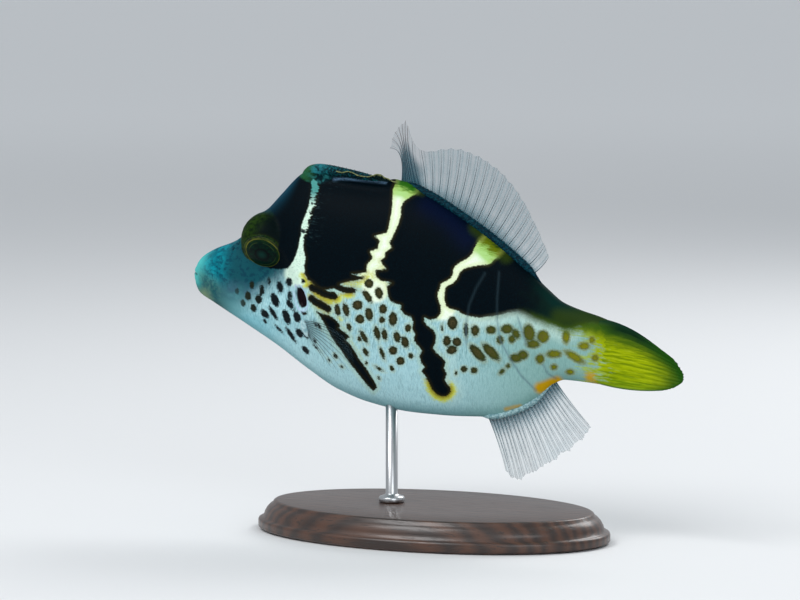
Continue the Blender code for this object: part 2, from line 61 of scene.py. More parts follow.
turn, rise = VIEW_AZIMUTH, VIEW_ELEVATION
view_back = np.array((math.sin(turn) * math.cos(rise), -math.cos(turn) * math.cos(rise), math.sin(rise)))
view_right = np.array((math.cos(turn), math.sin(turn), 0.0))
view_up = np.cross(view_back, view_right)
focal_pixels = PIXELS_PER_MM * VIEW_DISTANCE


def ray_through(pixel):
    """The way from the camera to what shows at a pixel."""
    right, up = pixel[0] - PICTURE_MIDDLE[0], PICTURE_MIDDLE[1] - pixel[1]
    return -view_back * focal_pixels + view_right * right + view_up * up


snout_ray = ray_through(SNOUT_PIXEL)
eye_point = SNOUT_AT - snout_ray * (VIEW_DISTANCE * view_back[1] / -snout_ray[1])

camera_data = bpy.data.cameras.new("view")
camera_data.sensor_width = SENSOR_MM
camera_data.lens = SENSOR_MM * focal_pixels / PICTURE_WIDTH
camera_data.clip_start, camera_data.clip_end = CLIP_METRES
camera = bpy.data.objects.new("view", camera_data)
bpy.context.scene.collection.objects.link(camera)
aim = Matrix((view_right, view_up, view_back)).transposed()
camera.matrix_world = Matrix.Translation(eye_point * MM) @ aim.to_4x4()
bpy.context.scene.camera = camera

body_axis = np.array((math.cos(HEAD_UP), 0.0, -math.sin(HEAD_UP)))
body_up = np.array((math.sin(HEAD_UP), 0.0, math.cos(HEAD_UP)))


def placed(points):
    """World places in millimetres of (s, y, h) points: back along the body, to its right, and up."""
    s, y, h = np.moveaxis(np.asarray(points, float)[..., None], -2, 0)
    return SNOUT_AT + s * body_axis + y * np.array((0.0, 1.0, 0.0)) + h * body_up


def pixels_of(points):
    """Where (s, y, h) points show in the picture."""
    seen = placed(points) - eye_point
    depth = -seen @ view_back
    across = PICTURE_MIDDLE[0] + focal_pixels * (seen @ view_right) / depth
    down = PICTURE_MIDDLE[1] - focal_pixels * (seen @ view_up) / depth
    return np.stack((across, down), axis=-1)


def on_plane(pixel, y):
    """The (s, y, h) place that shows at a pixel, in the upright plane that lies y to the fish's right."""
    ray = ray_through(pixel)
    off = eye_point + ray * ((y - eye_point[1]) / ray[1]) - SNOUT_AT
    return np.array((off @ body_axis, y, off @ body_up))


# The skin. One seamless skin covers the head, the body and the root of the tail: tough, fine-grained and
# satin, swollen over each eye, rolled into lips at the tip of the snout and slit ahead of each side fin.
# It is laid as rings of even steps round egg-shaped sections, then swollen, dented and creased in places.
BODY_LENGTH = 75.0
SKIN_END = 79.5
BACK = [
    (0, 1.5), (0.4, 2.4), (1.2, 3.6), (3.3, 5.2), (7.7, 7.6), (12.8, 13.5), (17.3, 18.7), (19.5, 20.0),
    (22, 20.4), (30, 20.5), (38.5, 20.8), (42, 20.0), (46, 18.5), (54, 14.9), (61.5, 10.6), (65, 8.3),
    (68, 6.6), (71, 5.9), (BODY_LENGTH, 5.3), (SKIN_END, 4.1),
]
BELLY = [
    (0, -0.1), (0.5, -1.35), (1.6, -2.7), (4.1, -3.7), (11.4, -6.6), (17.4, -9.1), (23.6, -12.1),
    (29.6, -14.5), (35.4, -15.6), (41, -15.9), (48.4, -15.4), (55, -14.5), (58.5, -13.8), (61.8, -12.4),
    (65.1, -10.1), (68, -6.8), (70, -5.8), (BODY_LENGTH, -5.5), (SKIN_END, -5.4),
]
HALF_WIDTH = [
    (0, 0.5), (0.6, 1.35), (2, 2.35), (5, 3.35), (10, 4.4), (15, 5.3), (20, 6.2), (26, 6.9), (34, 7.0),
    (42, 6.4), (50, 5.3), (58, 4.1), (65, 3.0), (70, 2.3), (BODY_LENGTH, 1.7), (SKIN_END, 0.3),
]
WIDEST_AT = [
    (0, 0.8), (5, 1.2), (12, 3.0), (20, 4.0), (30, 3.2), (45, 1.5), (60, -0.5), (BODY_LENGTH, -0.1),
]
BACK_ROUNDNESS = [(0, 2.3), (10, 2.0), (BODY_LENGTH, 2.0)]
BELLY_ROUNDNESS = [(0, 2.2), (12, 1.9), (25, 1.6), (60, 1.45), (67, 1.7), (BODY_LENGTH, 2.0)]
RING_STEP = [(0, 0.06), (1.5, 0.12), (8, 0.17), (30, 0.19), (SKIN_END, 0.25)]
HALF_RING = 118
SNOUT_CAP = 0.15
SNOUT_CAP_RINGS = 9
SECTION_STEPS = 900

# The knobs at both ends of the folded spine: how high, where along, how long and how wide. The ridge under it
# and the lips beside it: how high, how far off the middle, how wide, and where they rise and fall away.
KNOBS = [(0.75, 19.3, 2.4, 2.0), (0.95, 37.4, 2.8, 2.2)]
RIDGES = [(0.6, 0.0, 0.85, (18.5, 20.5), (35.0, 37.5)), (0.30, 1.75, 0.42, (20.5, 23.0), (34.0, 36.5))]
RIDGES_ABOVE = (14.0, 19.0)

# The turrets and their eyes, on the fish's right. The left ones mirror them.
TURRET = np.array((14.65, 2.3, 8.7))
TURRET_RADIUS = 4.75
TURRET_FADE = 0.35
GAZE = np.array((0.15, 0.82, -0.55))
GAZE = GAZE / np.linalg.norm(GAZE)
EYEBALL_RADIUS = 3.55
EYEBALL_FORWARD = 1.95
EYEBALL_GAP = 0.12
SOCKET_DEPTH, SOCKET_SLOPE = 1.6, 0.2
OPENING_FADE = 0.06
TURRET_BLEND = 0.9
WRINKLE_HEIGHT = 0.05
WRINKLES_A_RADIAN = 38.0
WRINKLES_RISING, WRINKLES_FALLING = (0.85, 1.0), (1.5, 1.9)

# Small features: each nostril's place and radius, the mouth's line, and the slit ahead of each side fin.
NOSTRILS = [(8.3, 6.2, 0.34), (9.2, 7.3, 0.40)]
NOSTRIL_RIM, NOSTRIL_DEPTH = 0.14, 0.4
MOUTH_HEIGHT = 0.75
MOUTH_SLOPE = -0.12
MOUTH_LENGTH = 1.5
MOUTH_DEPTH = 0.16
LIP_RISE, LIP_FOLD = 0.05, 0.03
GILL_SLIT = (23.7, 0.6)
GILL_SLIT_HALF = (1.15, 1.8)
GILL_SLIT_LEAN = math.radians(24.0)
SLIT_ROUNDNESS = 2.6
SLIT_RIM, SLIT_DEPTH = 0.16, 0.75
FIN_SWELLING, FIN_SWELLING_AT, FIN_SWELLING_SPREAD = 0.35, (25.9, -2.4), 1.3
OUTER_SIDE = 0.8


def smooth_line(points):
    """A smooth curve through (place, value) points that doesn't overshoot them."""
    xs, ys = np.array(points, float).T
    chords = np.diff(ys) / np.diff(xs)
    product = chords[:-1] * chords[1:]
    inner = np.where(product > 0, 2 * product / (chords[:-1] + chords[1:] + 1e-12), 0)
    slopes = np.concatenate((chords[:1], inner, chords[-1:]))

    def value(x):
        x = np.clip(np.asarray(x, float), xs[0], xs[-1])
        i = np.clip(np.searchsorted(xs, x, side="right") - 1, 0, len(xs) - 2)
        step = xs[i + 1] - xs[i]
        t = (x - xs[i]) / step
        return (
            ys[i] * (2 * t**3 - 3 * t**2 + 1)
            + slopes[i] * step * (t**3 - 2 * t**2 + t)
            + ys[i + 1] * (3 * t**2 - 2 * t**3)
            + slopes[i + 1] * step * (t**3 - t**2)
        )

    return value


back_line, belly_line, half_width = smooth_line(BACK), smooth_line(BELLY), smooth_line(HALF_WIDTH)
widest_at = smooth_line(WIDEST_AT)
back_roundness, belly_roundness = smooth_line(BACK_ROUNDNESS), smooth_line(BELLY_ROUNDNESS)


def ease(x, start, end):
    """0 before start and 1 after end, smoothly between."""
    t = np.clip((np.asarray(x, float) - start) / (end - start), 0.0, 1.0)
    return t * t * (3 - 2 * t)


def bell(x, middle, spread):
    return np.exp(-(((x - middle) / spread) ** 2))


def half_ring(s):
    """Points (y, h) down one side of the section at s, at even steps from the back to the keel."""
    angle = np.linspace(0, math.pi, SECTION_STEPS)
    upper = angle <= math.pi / 2
    roundness = np.where(upper, back_roundness(s), belly_roundness(s))
    reach = np.where(upper, back_line(s), belly_line(s)) - widest_at(s)
    y = half_width(s) * np.clip(np.sin(angle), 0, 1) ** (2 / roundness)
    h = widest_at(s) + reach * np.abs(np.cos(angle)) ** (2 / roundness)
    run = np.concatenate(([0], np.cumsum(np.hypot(np.diff(y), np.diff(h)))))
    even = np.linspace(0, run[-1], HALF_RING + 1)
    return np.stack((np.interp(even, run, y), np.interp(even, run, h)), axis=-1)


stations = [0.0]
ring_step = smooth_line(RING_STEP)
while stations[-1] < SKIN_END:
    stations.append(stations[-1] + float(ring_step(stations[-1])))
stations[-1] = SKIN_END
snout_ring = half_ring(0.0)
snout_middle = np.array((0.0, float(widest_at(0.0))))
rings = []
for lift in 0.5 * math.pi * np.arange(1, SNOUT_CAP_RINGS) / SNOUT_CAP_RINGS:
    rings.append((-SNOUT_CAP * math.cos(lift), snout_middle + (snout_ring - snout_middle) * math.sin(lift)))
rings += [(s, half_ring(s)) for s in stations]
side_skin = np.array([np.column_stack((np.full(len(ring), s), ring)) for s, ring in rings])


def unit(vectors):
    """The same directions, each one long."""
    return vectors / np.maximum(np.linalg.norm(vectors, axis=-1, keepdims=True), 1e-9)


def kept_flat(grid):
    """Keeps the top and bottom lines of a half skin in the fish's middle plane."""
    grid[:, (0, -1), 1] = 0
    return grid


def outward(grid):
    """Unit normals of a half skin whose rows run back along the body and whose columns run down it."""
    return unit(kept_flat(np.cross(np.gradient(grid, axis=0), np.gradient(grid, axis=1))))


def swollen(a, b, blend):
    """The larger of two reaches, rounded where they cross."""
    near = np.maximum(blend - np.abs(a - b), 0) / blend
    return np.maximum(a, b) + near**2 * blend / 4


def raised(grid, height):
    return kept_flat(grid + outward(grid) * height[..., None])


# The skin heaps up into a knob at each end of the folded spine, and a low ridge runs under it, between two
# soft lips.
s, y, h = np.moveaxis(side_skin, -1, 0)
heap = np.zeros_like(s)
for height, middle, length, width in KNOBS:
    heap += height * bell(s, middle, length) * bell(y, 0.0, width)
for height, off_middle, width, rising, falling in RIDGES:
    heap += height * bell(y, off_middle, width) * ease(s, *rising) * (1 - ease(s, *falling))
side_skin = raised(side_skin, heap * ease(h, *RIDGES_ABOVE))

# The eyes' turrets push the skin out, and their openings let it down behind the eyeball.
from_turret = side_skin - TURRET
reach = np.linalg.norm(from_turret, axis=-1)
direction = from_turret / reach[..., None]
off_gaze = np.arccos(np.clip(direction @ GAZE, -1, 1))
on_turret = ease(TURRET_RADIUS + TURRET_FADE - reach, 0.0, 2 * TURRET_FADE)
turret_depth = TURRET_RADIUS - reach
wrinkles = WRINKLE_HEIGHT * np.sin(off_gaze * WRINKLES_A_RADIAN)
wrinkles = wrinkles * ease(off_gaze, *WRINKLES_RISING) * (1 - ease(off_gaze, *WRINKLES_FALLING))
full_reach = swollen(reach, TURRET_RADIUS + wrinkles, TURRET_BLEND)
sunk_half = EYEBALL_RADIUS**2 - (EYEBALL_FORWARD * np.sin(off_gaze)) ** 2
ball_reach = EYEBALL_FORWARD * np.cos(off_gaze) + np.sqrt(np.maximum(sunk_half, 0.01))
opening = (TURRET_RADIUS**2 + EYEBALL_FORWARD**2 - EYEBALL_RADIUS**2) / (2 * TURRET_RADIUS * EYEBALL_FORWARD)
opening = math.acos(opening)
below_ball = ball_reach - EYEBALL_GAP - SOCKET_DEPTH * ease(opening - off_gaze, 0.0, SOCKET_SLOPE)
inside_opening = ease(opening + OPENING_FADE - off_gaze, 0.0, 2 * OPENING_FADE)
full_reach = full_reach * (1 - inside_opening) + np.minimum(full_reach, below_ball) * inside_opening
side_skin = kept_flat(TURRET + direction * full_reach[..., None])

# The mouth is a short line across the tip of the snout, with a rolled lip above it and one below.
s, y, h = np.moveaxis(side_skin, -1, 0)
off_mouth = h - (MOUTH_HEIGHT + MOUTH_SLOPE * s)
mouth_fades = 1 - ease(s, MOUTH_LENGTH * 0.7, MOUTH_LENGTH)
mouth_relief = LIP_RISE * bell(np.abs(off_mouth), 0.6, 0.36) - MOUTH_DEPTH * bell(off_mouth, 0.0, 0.12)
mouth_relief -= LIP_FOLD * bell(np.abs(off_mouth), 1.35, 0.3)
side_skin = raised(side_skin, mouth_relief * mouth_fades)
mouth_line = bell(off_mouth, 0.0, 0.2) * mouth_fades

# Nostrils, gill slit and the swelling that carries the side fin.
s, y, h = np.moveaxis(side_skin, -1, 0)
relief = np.zeros_like(s)
outer_side = y > OUTER_SIDE
nostril_pits = np.zeros_like(s)
for pit_s, pit_h, pit_radius in NOSTRILS:
    away = np.hypot(s - pit_s, h - pit_h) / pit_radius
    nostril_pits = np.maximum(nostril_pits, outer_side * (1 - ease(away, 0.5, 1.1)))
    dip = NOSTRIL_RIM * bell(away, 1.5, 0.5) - NOSTRIL_DEPTH * (1 - ease(away, 0.3, 1.1))
    relief += outer_side * dip
from_slit_s, from_slit_h = s - GILL_SLIT[0], h - GILL_SLIT[1]
lean_s = from_slit_s * math.cos(GILL_SLIT_LEAN) + from_slit_h * math.sin(GILL_SLIT_LEAN)
lean_h = -from_slit_s * math.sin(GILL_SLIT_LEAN) + from_slit_h * math.cos(GILL_SLIT_LEAN)
slit_out = np.abs((lean_s / GILL_SLIT_HALF[0], lean_h / GILL_SLIT_HALF[1])) ** SLIT_ROUNDNESS
slit_out = slit_out.sum(0) ** (1 / SLIT_ROUNDNESS)
slit_open = outer_side * (1 - ease(slit_out, 0.72, 1.02))
relief += outer_side * SLIT_RIM * bell(slit_out, 1.3, 0.22) - SLIT_DEPTH * slit_open
off_swelling = np.hypot(s - FIN_SWELLING_AT[0], (h - FIN_SWELLING_AT[1]) * 0.8)
relief += outer_side * FIN_SWELLING * bell(off_swelling, 0.0, FIN_SWELLING_SPREAD)
side_skin = raised(side_skin, relief)

# Skin creases where the rear of the body bends, drawn where the picture shows them.
CREASE_DEPTH = 0.10
CREASE_HALF_PIXELS = 1.15
CREASES = [
    [(485, 273), (476, 288), (469, 305), (466, 325), (466, 345)],
    [(499, 272), (497, 300), (497, 320), (500, 340), (508, 356), (521, 376), (536, 391)],
    [(518, 318), (522, 332), (526, 345)],
    [(543, 365), (548, 374), (556, 379)],
]


def line_distance(points, line):
    """Shortest distance from each point to a line of straight stretches."""
    best = np.full(points.shape[:-1], 1e9)
    for (x0, y0), (x1, y1) in zip(line, line[1:]):
        dx, dy = x1 - x0, y1 - y0
        along = ((points[..., 0] - x0) * dx + (points[..., 1] - y0) * dy) / (dx * dx + dy * dy)
        along = np.clip(along, 0, 1)
        off = np.hypot(points[..., 0] - x0 - along * dx, points[..., 1] - y0 - along * dy)
        best = np.minimum(best, off)
    return best


seen_at = pixels_of(side_skin * np.array((1.0, -1.0, 1.0)))
crease = np.max([bell(line_distance(seen_at, line), 0.0, CREASE_HALF_PIXELS) for line in CREASES], axis=0)
side_skin = raised(side_skin, -CREASE_DEPTH * crease)

# The markings, drawn in the picture's pixels on the near side and repeated on the far side. Each field
# holds how far a point lies inside a patch, in pixels, so that the finish can cut a clean or ragged edge.
# The first outlines are of blue-black saddles and stripes.
EYE_SADDLE = [
    (313.5, 150), (313.5, 179), (311, 182), (311.5, 186), (311.5, 192), (310.5, 200), (308.3, 208),
    (305.5, 216), (302.3, 223), (301, 229), (301.3, 235), (299.8, 240), (298.5, 248), (296.3, 255),
    (293, 262), (288, 268.5), (280, 269.5), (270, 268.5), (260, 264), (252, 255), (246, 244), (244, 232),
    (236, 215), (250, 150),
]
SHOULDER_SADDLE = [
    (312.5, 150), (312.5, 179), (317, 182), (317.7, 187), (316, 193), (315.7, 198), (314, 205), (311, 210),
    (309.2, 218), (307.3, 225), (305.5, 231), (303.6, 238), (303, 245), (304, 252), (305.3, 258),
    (304, 266), (304.5, 274), (308, 280), (312, 282.5), (316, 287), (321, 289.5), (328, 290), (333, 288.5),
    (341, 292), (348, 293.5), (355, 293), (357, 290), (354, 287.5), (346, 287), (339, 284.5), (346, 282),
    (356, 280.5), (364, 279), (365, 276.5), (357, 275.5), (352.5, 274), (360, 273.5), (366.5, 272.5),
    (367, 265), (373, 258), (370, 251.5), (377.5, 249), (380, 240.5), (374.5, 236), (387, 233), (389, 226),
    (391, 216), (392.5, 205), (393, 190), (396, 181), (398, 150),
]
REAR_SADDLE = [
    (420, 150), (422, 187), (417, 193), (410, 197), (403, 202), (401, 208), (400.5, 216), (398.5, 223),
    (395, 231), (392, 238), (389, 242), (391.5, 248), (385.5, 251.5), (384.5, 257), (380, 261), (386, 269),
    (375, 270), (376, 277), (381, 281), (392, 283), (386.5, 286), (387, 291), (388, 297), (391, 302),
    (397, 304), (401, 305), (400.5, 310), (405, 315), (411, 317), (413, 322), (412, 329), (415, 334),
    (413.5, 340), (418, 346), (422, 351), (419, 356), (421, 363), (424.5, 367), (421, 371), (425, 376),
    (428.5, 382), (432, 390), (437, 395), (443, 397), (448, 395.5), (451, 391.5), (450.5, 387.5),
    (447.5, 384), (445, 380), (447, 374), (444, 368), (446, 362), (442, 357), (437, 353), (433, 348),
    (435.5, 343), (436, 335), (433, 329), (428, 326), (424, 321), (424.5, 317.5), (430, 320), (437, 318.5),
    (441, 313), (441, 306), (438.5, 300), (437.5, 294.5), (440, 288), (441, 284), (445.5, 281.5),
    (450.5, 278.5), (453, 275), (453.5, 268.5), (458, 264), (463, 261), (469.5, 257), (472.5, 253),
    (475, 247.5), (477.5, 243), (481, 238.5), (485, 234), (487, 150),
]
TAIL_SADDLE = [
    (500, 150), (506, 249), (501, 254), (495, 258.5), (492, 262), (488, 264.5), (480, 265), (471, 266.5),
    (463, 269), (459, 273), (457, 279), (452.5, 283), (447.5, 285.5), (445, 288), (444.2, 294), (444, 300),
    (446, 306), (450, 309), (457, 310.5), (463, 314.5), (470, 316.5), (480, 318), (490, 316.5), (500, 315),
    (510, 312.5), (518, 311.5), (525, 314), (533, 318.5), (541, 321.5), (548, 325), (556, 328), (563, 331),
    (572, 331), (582, 327), (592, 323), (600, 325), (612, 329), (640, 345), (660, 355), (690, 300),
    (560, 200),
]
BREAST_STRIPE = [
    (315.5, 310.5), (322, 313.5), (329.5, 315.5), (336.5, 320), (340, 325), (339.5, 329), (338, 328),
    (345, 332), (350, 337), (346, 340), (351, 345), (356, 353), (360, 360), (365, 366), (370, 374),
    (376, 384), (377, 388), (373.5, 391.5), (367, 385), (360.5, 377), (353.5, 368), (347, 360), (342, 352),
    (336.5, 345), (332, 338), (328.5, 332), (325.5, 326), (321.5, 319),
]
FINGERS = [
    ([(312, 287.5), (318, 290), (325, 294), (334, 296)], 3.8),
    ([(311.5, 298.5), (315, 301.5), (321, 304.5), (328, 309)], 3.7),
]
# A small painted shadow by the gill slit, filled with the same blue-black as the saddles.
GILL_SHADOW = [(301, 311), (304, 312), (307, 311), (306.5, 314.5), (304, 315.5), (302, 314)]
# Each spot: its middle, its width and height, and how many degrees its top leans back.
HEAD_SPOTS = [
    (252, 285, 5, 8, 0), (262, 290, 5.5, 10, -10), (269, 281, 4, 7, 0), (280, 287, 7, 12, -10),
    (289, 282, 7, 9, 0), (237, 291, 4, 6, 0), (248, 296, 6, 9, -10), (258.5, 299, 7, 9, -15),
    (275, 300, 8, 15, -25), (290, 295, 5.5, 8, -15), (243, 303, 5, 7, -15), (253.5, 308, 6, 8, -20),
    (290, 304.5, 6, 11, -35), (265, 314, 6, 10.5, -40), (273, 313, 4.5, 17, -33), (286.5, 317, 7, 16, -20),
    (297, 317, 7, 11, -20), (265, 321, 3, 5, -40), (279, 329, 2.6, 11, -45), (291, 335, 4, 18, -33),
    (299.5, 333, 6, 10.5, -35), (305.5, 334.5, 4.5, 10.5, -35), (305.5, 350, 5, 10, -40),
    (315, 341, 2.6, 5, -35), (316, 347.5, 2, 9, -45), (315.5, 324.5, 2.6, 4.5, -35), (319, 326, 3, 7, -30),
    (335.5, 356, 4, 6, -35), (329, 360, 2, 3.5, -35), (342, 366.5, 2.4, 4, -60), (303, 231, 8, 3.4, 12),
    (312, 203.5, 2, 2.4, 0), (309.5, 211.5, 2, 2.4, 0), (303.2, 281, 3.8, 4.8, -20),
]
FLANK_SPOTS = [
    (337.5, 310, 6, 12, -10), (346, 310, 6.5, 13, -15), (357.5, 305, 10.5, 9.5, 0), (360, 319, 9, 9, -20),
    (369, 314, 8, 13, -10), (367.5, 296.5, 6.5, 15, -35), (369, 283.5, 9, 9, 0), (379, 293, 8, 12, -10),
    (383, 309, 8, 9.5, 0), (382, 320, 6.5, 6.5, 0), (393, 319, 8.5, 14, 0), (349, 327, 5, 8, -20),
    (377, 333, 6, 14, -15), (384.5, 334.5, 6, 11, -10), (364, 337, 5, 14, -30), (359.5, 339, 4, 6, -30),
    (397, 337, 7, 11, -15), (405, 342, 7.5, 12, -15), (408, 328, 6.5, 8, 0), (365.5, 352, 5, 9, -30),
    (382, 353, 4, 12, -20), (393, 350.5, 9, 8.5, 0), (400.5, 361, 8.5, 8.5, 0), (411, 356, 5, 6, -30),
    (392, 368.5, 4, 6, -30), (379, 368.5, 3, 9, -60), (366.5, 363, 3, 4, 0), (379, 378, 2.5, 4, -30),
]
REAR_SPOTS = [
    (452.5, 323, 10, 13, 0), (442, 328, 3, 6, 0), (466, 330, 5, 13, 0), (475, 330.5, 8, 11, 0),
    (447, 341, 8, 10, 0), (457, 342, 9, 9, 0), (452, 350, 11, 8.5, -20), (477.5, 353, 9, 21, -43),
    (491, 352, 9, 22, -45), (491, 330, 10, 8, 0), (507, 329, 12, 9, 0), (512, 339, 7, 8, 0),
    (500, 340, 7, 8, 0), (529, 333, 11, 17, -10), (533, 344, 13, 8, 0), (516, 334, 7, 10, -30),
    (543, 336.5, 11.5, 12, 0), (523, 355, 10, 9, 0), (516, 358, 12, 8.5, 0), (540, 359, 8, 9, 0),
    (554, 354, 14, 7, 0), (574.5, 357, 7, 20, -58), (566, 337, 7, 12, 0), (584, 346, 10.5, 7, 0),
    (592, 340, 5, 6, 0), (595, 358, 6, 6, 0), (606, 363, 4.5, 3.5, 0), (464, 369, 7, 6, 0),
    (474, 370.5, 7, 6.5, 0), (456, 373, 3, 4, 0), (502, 371.5, 7, 4, -40), (508, 366, 5, 4, -40),
    (554, 367, 6, 5, 0), (570, 372, 7, 5, 0),
]
# The lines that the pale bars follow.
FIRST_BAR = [
    (313, 176), (314, 184), (313, 198), (309.5, 212), (305, 224), (302, 236), (301, 250), (300, 262),
    (297, 274),
]
SECOND_BAR = [
    (404, 184), (399, 195), (397, 210), (393, 226), (387, 240), (380, 252), (374, 264), (371, 275),
    (376, 290),
]
THIRD_BAR = [(490, 240), (484, 255), (470, 262), (459, 267), (454, 278), (446, 284), (441, 292), (443, 308)]
BAR_SPREAD = 14.0
# Soft strokes of lemon, green, glow, navy, orange and specks: each a line, its spread and its strength.
HALO = [
    ([(302, 277), (305, 284)], 4.5, 1.5),
    ([(310, 283), (318, 294), (328, 301), (340, 299), (350, 295)], 6.0, 1.0),
    ([(310, 296), (318, 306), (328, 312)], 5.0, 0.75),
    ([(341.5, 303), (341.5, 318)], 4.0, 1.0),
    ([(346, 282), (360, 284), (370, 276)], 7.0, 0.7),
    ([(380, 262), (388, 276), (392, 292)], 7.0, 0.45),
    ([(340, 325), (352, 342), (362, 358)], 5.0, 0.35),
    ([(432, 386), (438, 396), (448, 397), (455, 390)], 10.0, 1.2),
    ([(449, 290), (448, 304)], 5.0, 0.5),
]
BAR_TOPS = [
    ([(394, 176), (408, 179), (421, 186)], 13.0, 1.15),
    ([(480, 229), (490, 236), (506, 251)], 15.0, 1.1),
]
GLOW = [
    ([(402, 180), (418, 188), (422, 192)], 8.0, 0.9),
    ([(476, 228), (490, 240), (506, 256)], 12.0, 1.0),
    ([(560, 318), (585, 318), (612, 328)], 16.0, 1.0),
]
NAVY = [([(428, 205), (450, 220), (466, 238)], 12.0, 1.0)]
ORANGE = [
    ([(540, 388), (557, 382)], 7.0, 1.1),
    ([(506, 409), (520, 406)], 3.6, 0.7),
    ([(590, 377), (612, 384)], 7.0, 0.8),
]
SPECK_ZONE = [([(318, 190), (311, 238)], 7.5, 1.0), ([(322, 182), (340, 186)], 6.0, 0.6)]
TEAL_CAP = [
    (300, 177), (302, 150), (345, 150), (372, 158), (402, 168), (400, 181), (384, 173), (366, 170),
    (350, 171), (338, 175), (330, 180), (322, 184), (314, 182), (307, 181),
]
GROOVE_LIP = [(334, 179.5), (342, 178.8), (350, 179), (365, 180), (376, 181), (386, 182.5)]
GROOVE_LIP_SPREAD = 1.2
FIELD_LIMIT = 30


def inside_by(points, outline):
    """How far each point lies inside a closed outline, in pixels, and below 0 outside it."""
    closed = outline + outline[:1]
    odd = np.zeros(points.shape[:-1], bool)
    for (x0, y0), (x1, y1) in zip(closed, closed[1:]):
        if y0 == y1:
            continue
        spans = (y0 > points[..., 1]) != (y1 > points[..., 1])
        crossing = x0 + (points[..., 1] - y0) * (x1 - x0) / (y1 - y0)
        odd ^= spans & (points[..., 0] < crossing)
    return np.where(odd, 1.0, -1.0) * line_distance(points, closed)


def inside_spot(points, spot):
    middle_x, middle_y, width, height, lean = spot
    lean = math.radians(lean)
    dx, dy = points[..., 0] - middle_x, points[..., 1] - middle_y
    across = dx * math.cos(lean) + dy * math.sin(lean)
    down = -dx * math.sin(lean) + dy * math.cos(lean)
    reach = np.hypot(across / (width / 2), down / (height / 2))
    return (1 - reach) * min(width, height) / 2


def washed(points, strokes):
    """Strength of soft strokes of colour, each a line, its spread in pixels and its strength."""
    total = np.zeros(points.shape[:-1])
    for line, spread, strength in strokes:
        total = np.maximum(total, strength * bell(line_distance(points, line), 0.0, spread))
    return total


def limited(field):
    return np.clip(field, -FIELD_LIMIT, FIELD_LIMIT)


dark = turret_depth * PIXELS_PER_MM
for outline in (EYE_SADDLE, SHOULDER_SADDLE, REAR_SADDLE, TAIL_SADDLE, BREAST_STRIPE, GILL_SHADOW):
    dark = np.maximum(dark, inside_by(seen_at, outline))
for line, half in FINGERS:
    dark = np.maximum(dark, half - line_distance(seen_at, line))
spots = np.max([inside_spot(seen_at, spot) for spot in HEAD_SPOTS + FLANK_SPOTS + REAR_SPOTS], axis=0)
off_bars = np.min([line_distance(seen_at, line) for line in (FIRST_BAR, SECOND_BAR, THIRD_BAR)], axis=0)
s, y, h = np.moveaxis(side_skin, -1, 0)
fields = {
    "dark": limited(dark),
    "spots": limited(spots),
    "bars": bell(off_bars, 0.0, BAR_SPREAD),
    "yellow": washed(seen_at, HALO),
    "green": washed(seen_at, BAR_TOPS),
    "glow": washed(seen_at, GLOW),
    "specks": washed(seen_at, SPECK_ZONE),
    "navy": washed(seen_at, NAVY),
    "orange": washed(seen_at, ORANGE),
    "teal_cap": limited(inside_by(seen_at, TEAL_CAP)),
    "groove_lip": bell(line_distance(seen_at, GROOVE_LIP), 0.0, GROOVE_LIP_SPREAD),
    "below_back": np.clip(back_line(s) - h, 0, 10),
    "above_belly": np.clip(h - belly_line(s), 0, 10),
    "turret": np.clip(turret_depth, -3, 3),
    "lid": bell(off_gaze, opening + 0.05, 0.06) * on_turret,
    "gill": slit_open,
    "gill_rim": outer_side * bell(slit_out, 1.15, 0.09),
    "pits": np.maximum(nostril_pits, mouth_line),
    "crease": crease,
}


def whole_body(side_values):
    """Joins the values of one side with their like on the other, leaving out the shared middle lines."""
    return np.concatenate((side_values, side_values[:, -2:0:-1]), axis=1)


def ring_faces(rows, segments, ends="fan"):
    """
    Faces between closed rings of points, row after row. The ends are flat, or joined to each other, or fans
    to two more points that follow the rings.
    """
    at = np.arange(rows * segments).reshape(rows, segments)
    after = np.roll(at, -1, axis=1)
    faces = np.stack((at[:-1], after[:-1], after[1:], at[1:]), axis=-1).reshape(-1, 4).tolist()
    if ends == "flat":
        return faces + [at[0][::-1].tolist(), at[-1].tolist()]
    if ends == "joined":
        return faces + np.stack((at[-1], after[-1], after[0], at[0]), axis=-1).tolist()
    tip, stern = np.full(segments, rows * segments), np.full(segments, rows * segments + 1)
    faces += np.stack((tip, after[0], at[0]), axis=-1).tolist()
    return faces + np.stack((stern, at[-1], after[-1]), axis=-1).tolist()


def closed_mesh(name, points, faces):
    """A mesh from points in millimetres, with every face turned outwards."""
    mesh = bpy.data.meshes.new(name)
    mesh.from_pydata((points * MM).tolist(), [], faces)
    mesh.validate()
    shell = bmesh.new()
    shell.from_mesh(mesh)
    bmesh.ops.recalc_face_normals(shell, faces=shell.faces)
    shell.to_mesh(mesh)
    shell.free()
    return mesh


def fish_mesh(name, points, faces, **fields):
    """A mesh from (s, y, h) points that holds each one's place, and named numbers for the finish to read."""
    mesh = closed_mesh(name, placed(points), faces)
    layer = mesh.attributes.new("place", "FLOAT_VECTOR", "POINT")
    layer.data.foreach_set("vector", np.asarray(points, np.float32).ravel())
    for field, values in fields.items():
        layer = mesh.attributes.new(field, "FLOAT", "POINT")
        layer.data.foreach_set("value", np.asarray(values, np.float32).ravel())
    return mesh


right_side = whole_body(side_skin)
right_side[:, : HALF_RING + 1, 1] *= -1
rows, columns = right_side.shape[:2]
stern_middle = (float(back_line(SKIN_END)) + float(belly_line(SKIN_END))) / 2
ends = ((-SNOUT_CAP, 0.0, snout_middle[1]), (SKIN_END, 0.0, stern_middle))
skin_points = np.vstack((right_side.reshape(-1, 3), ends))
for field, side_values in fields.items():
    values = whole_body(np.asarray(side_values, float)).ravel()
    fields[field] = np.append(values, (values[0], values[-1]))
skin_mesh = fish_mesh("skin", skin_points, ring_faces(rows, columns), **fields)

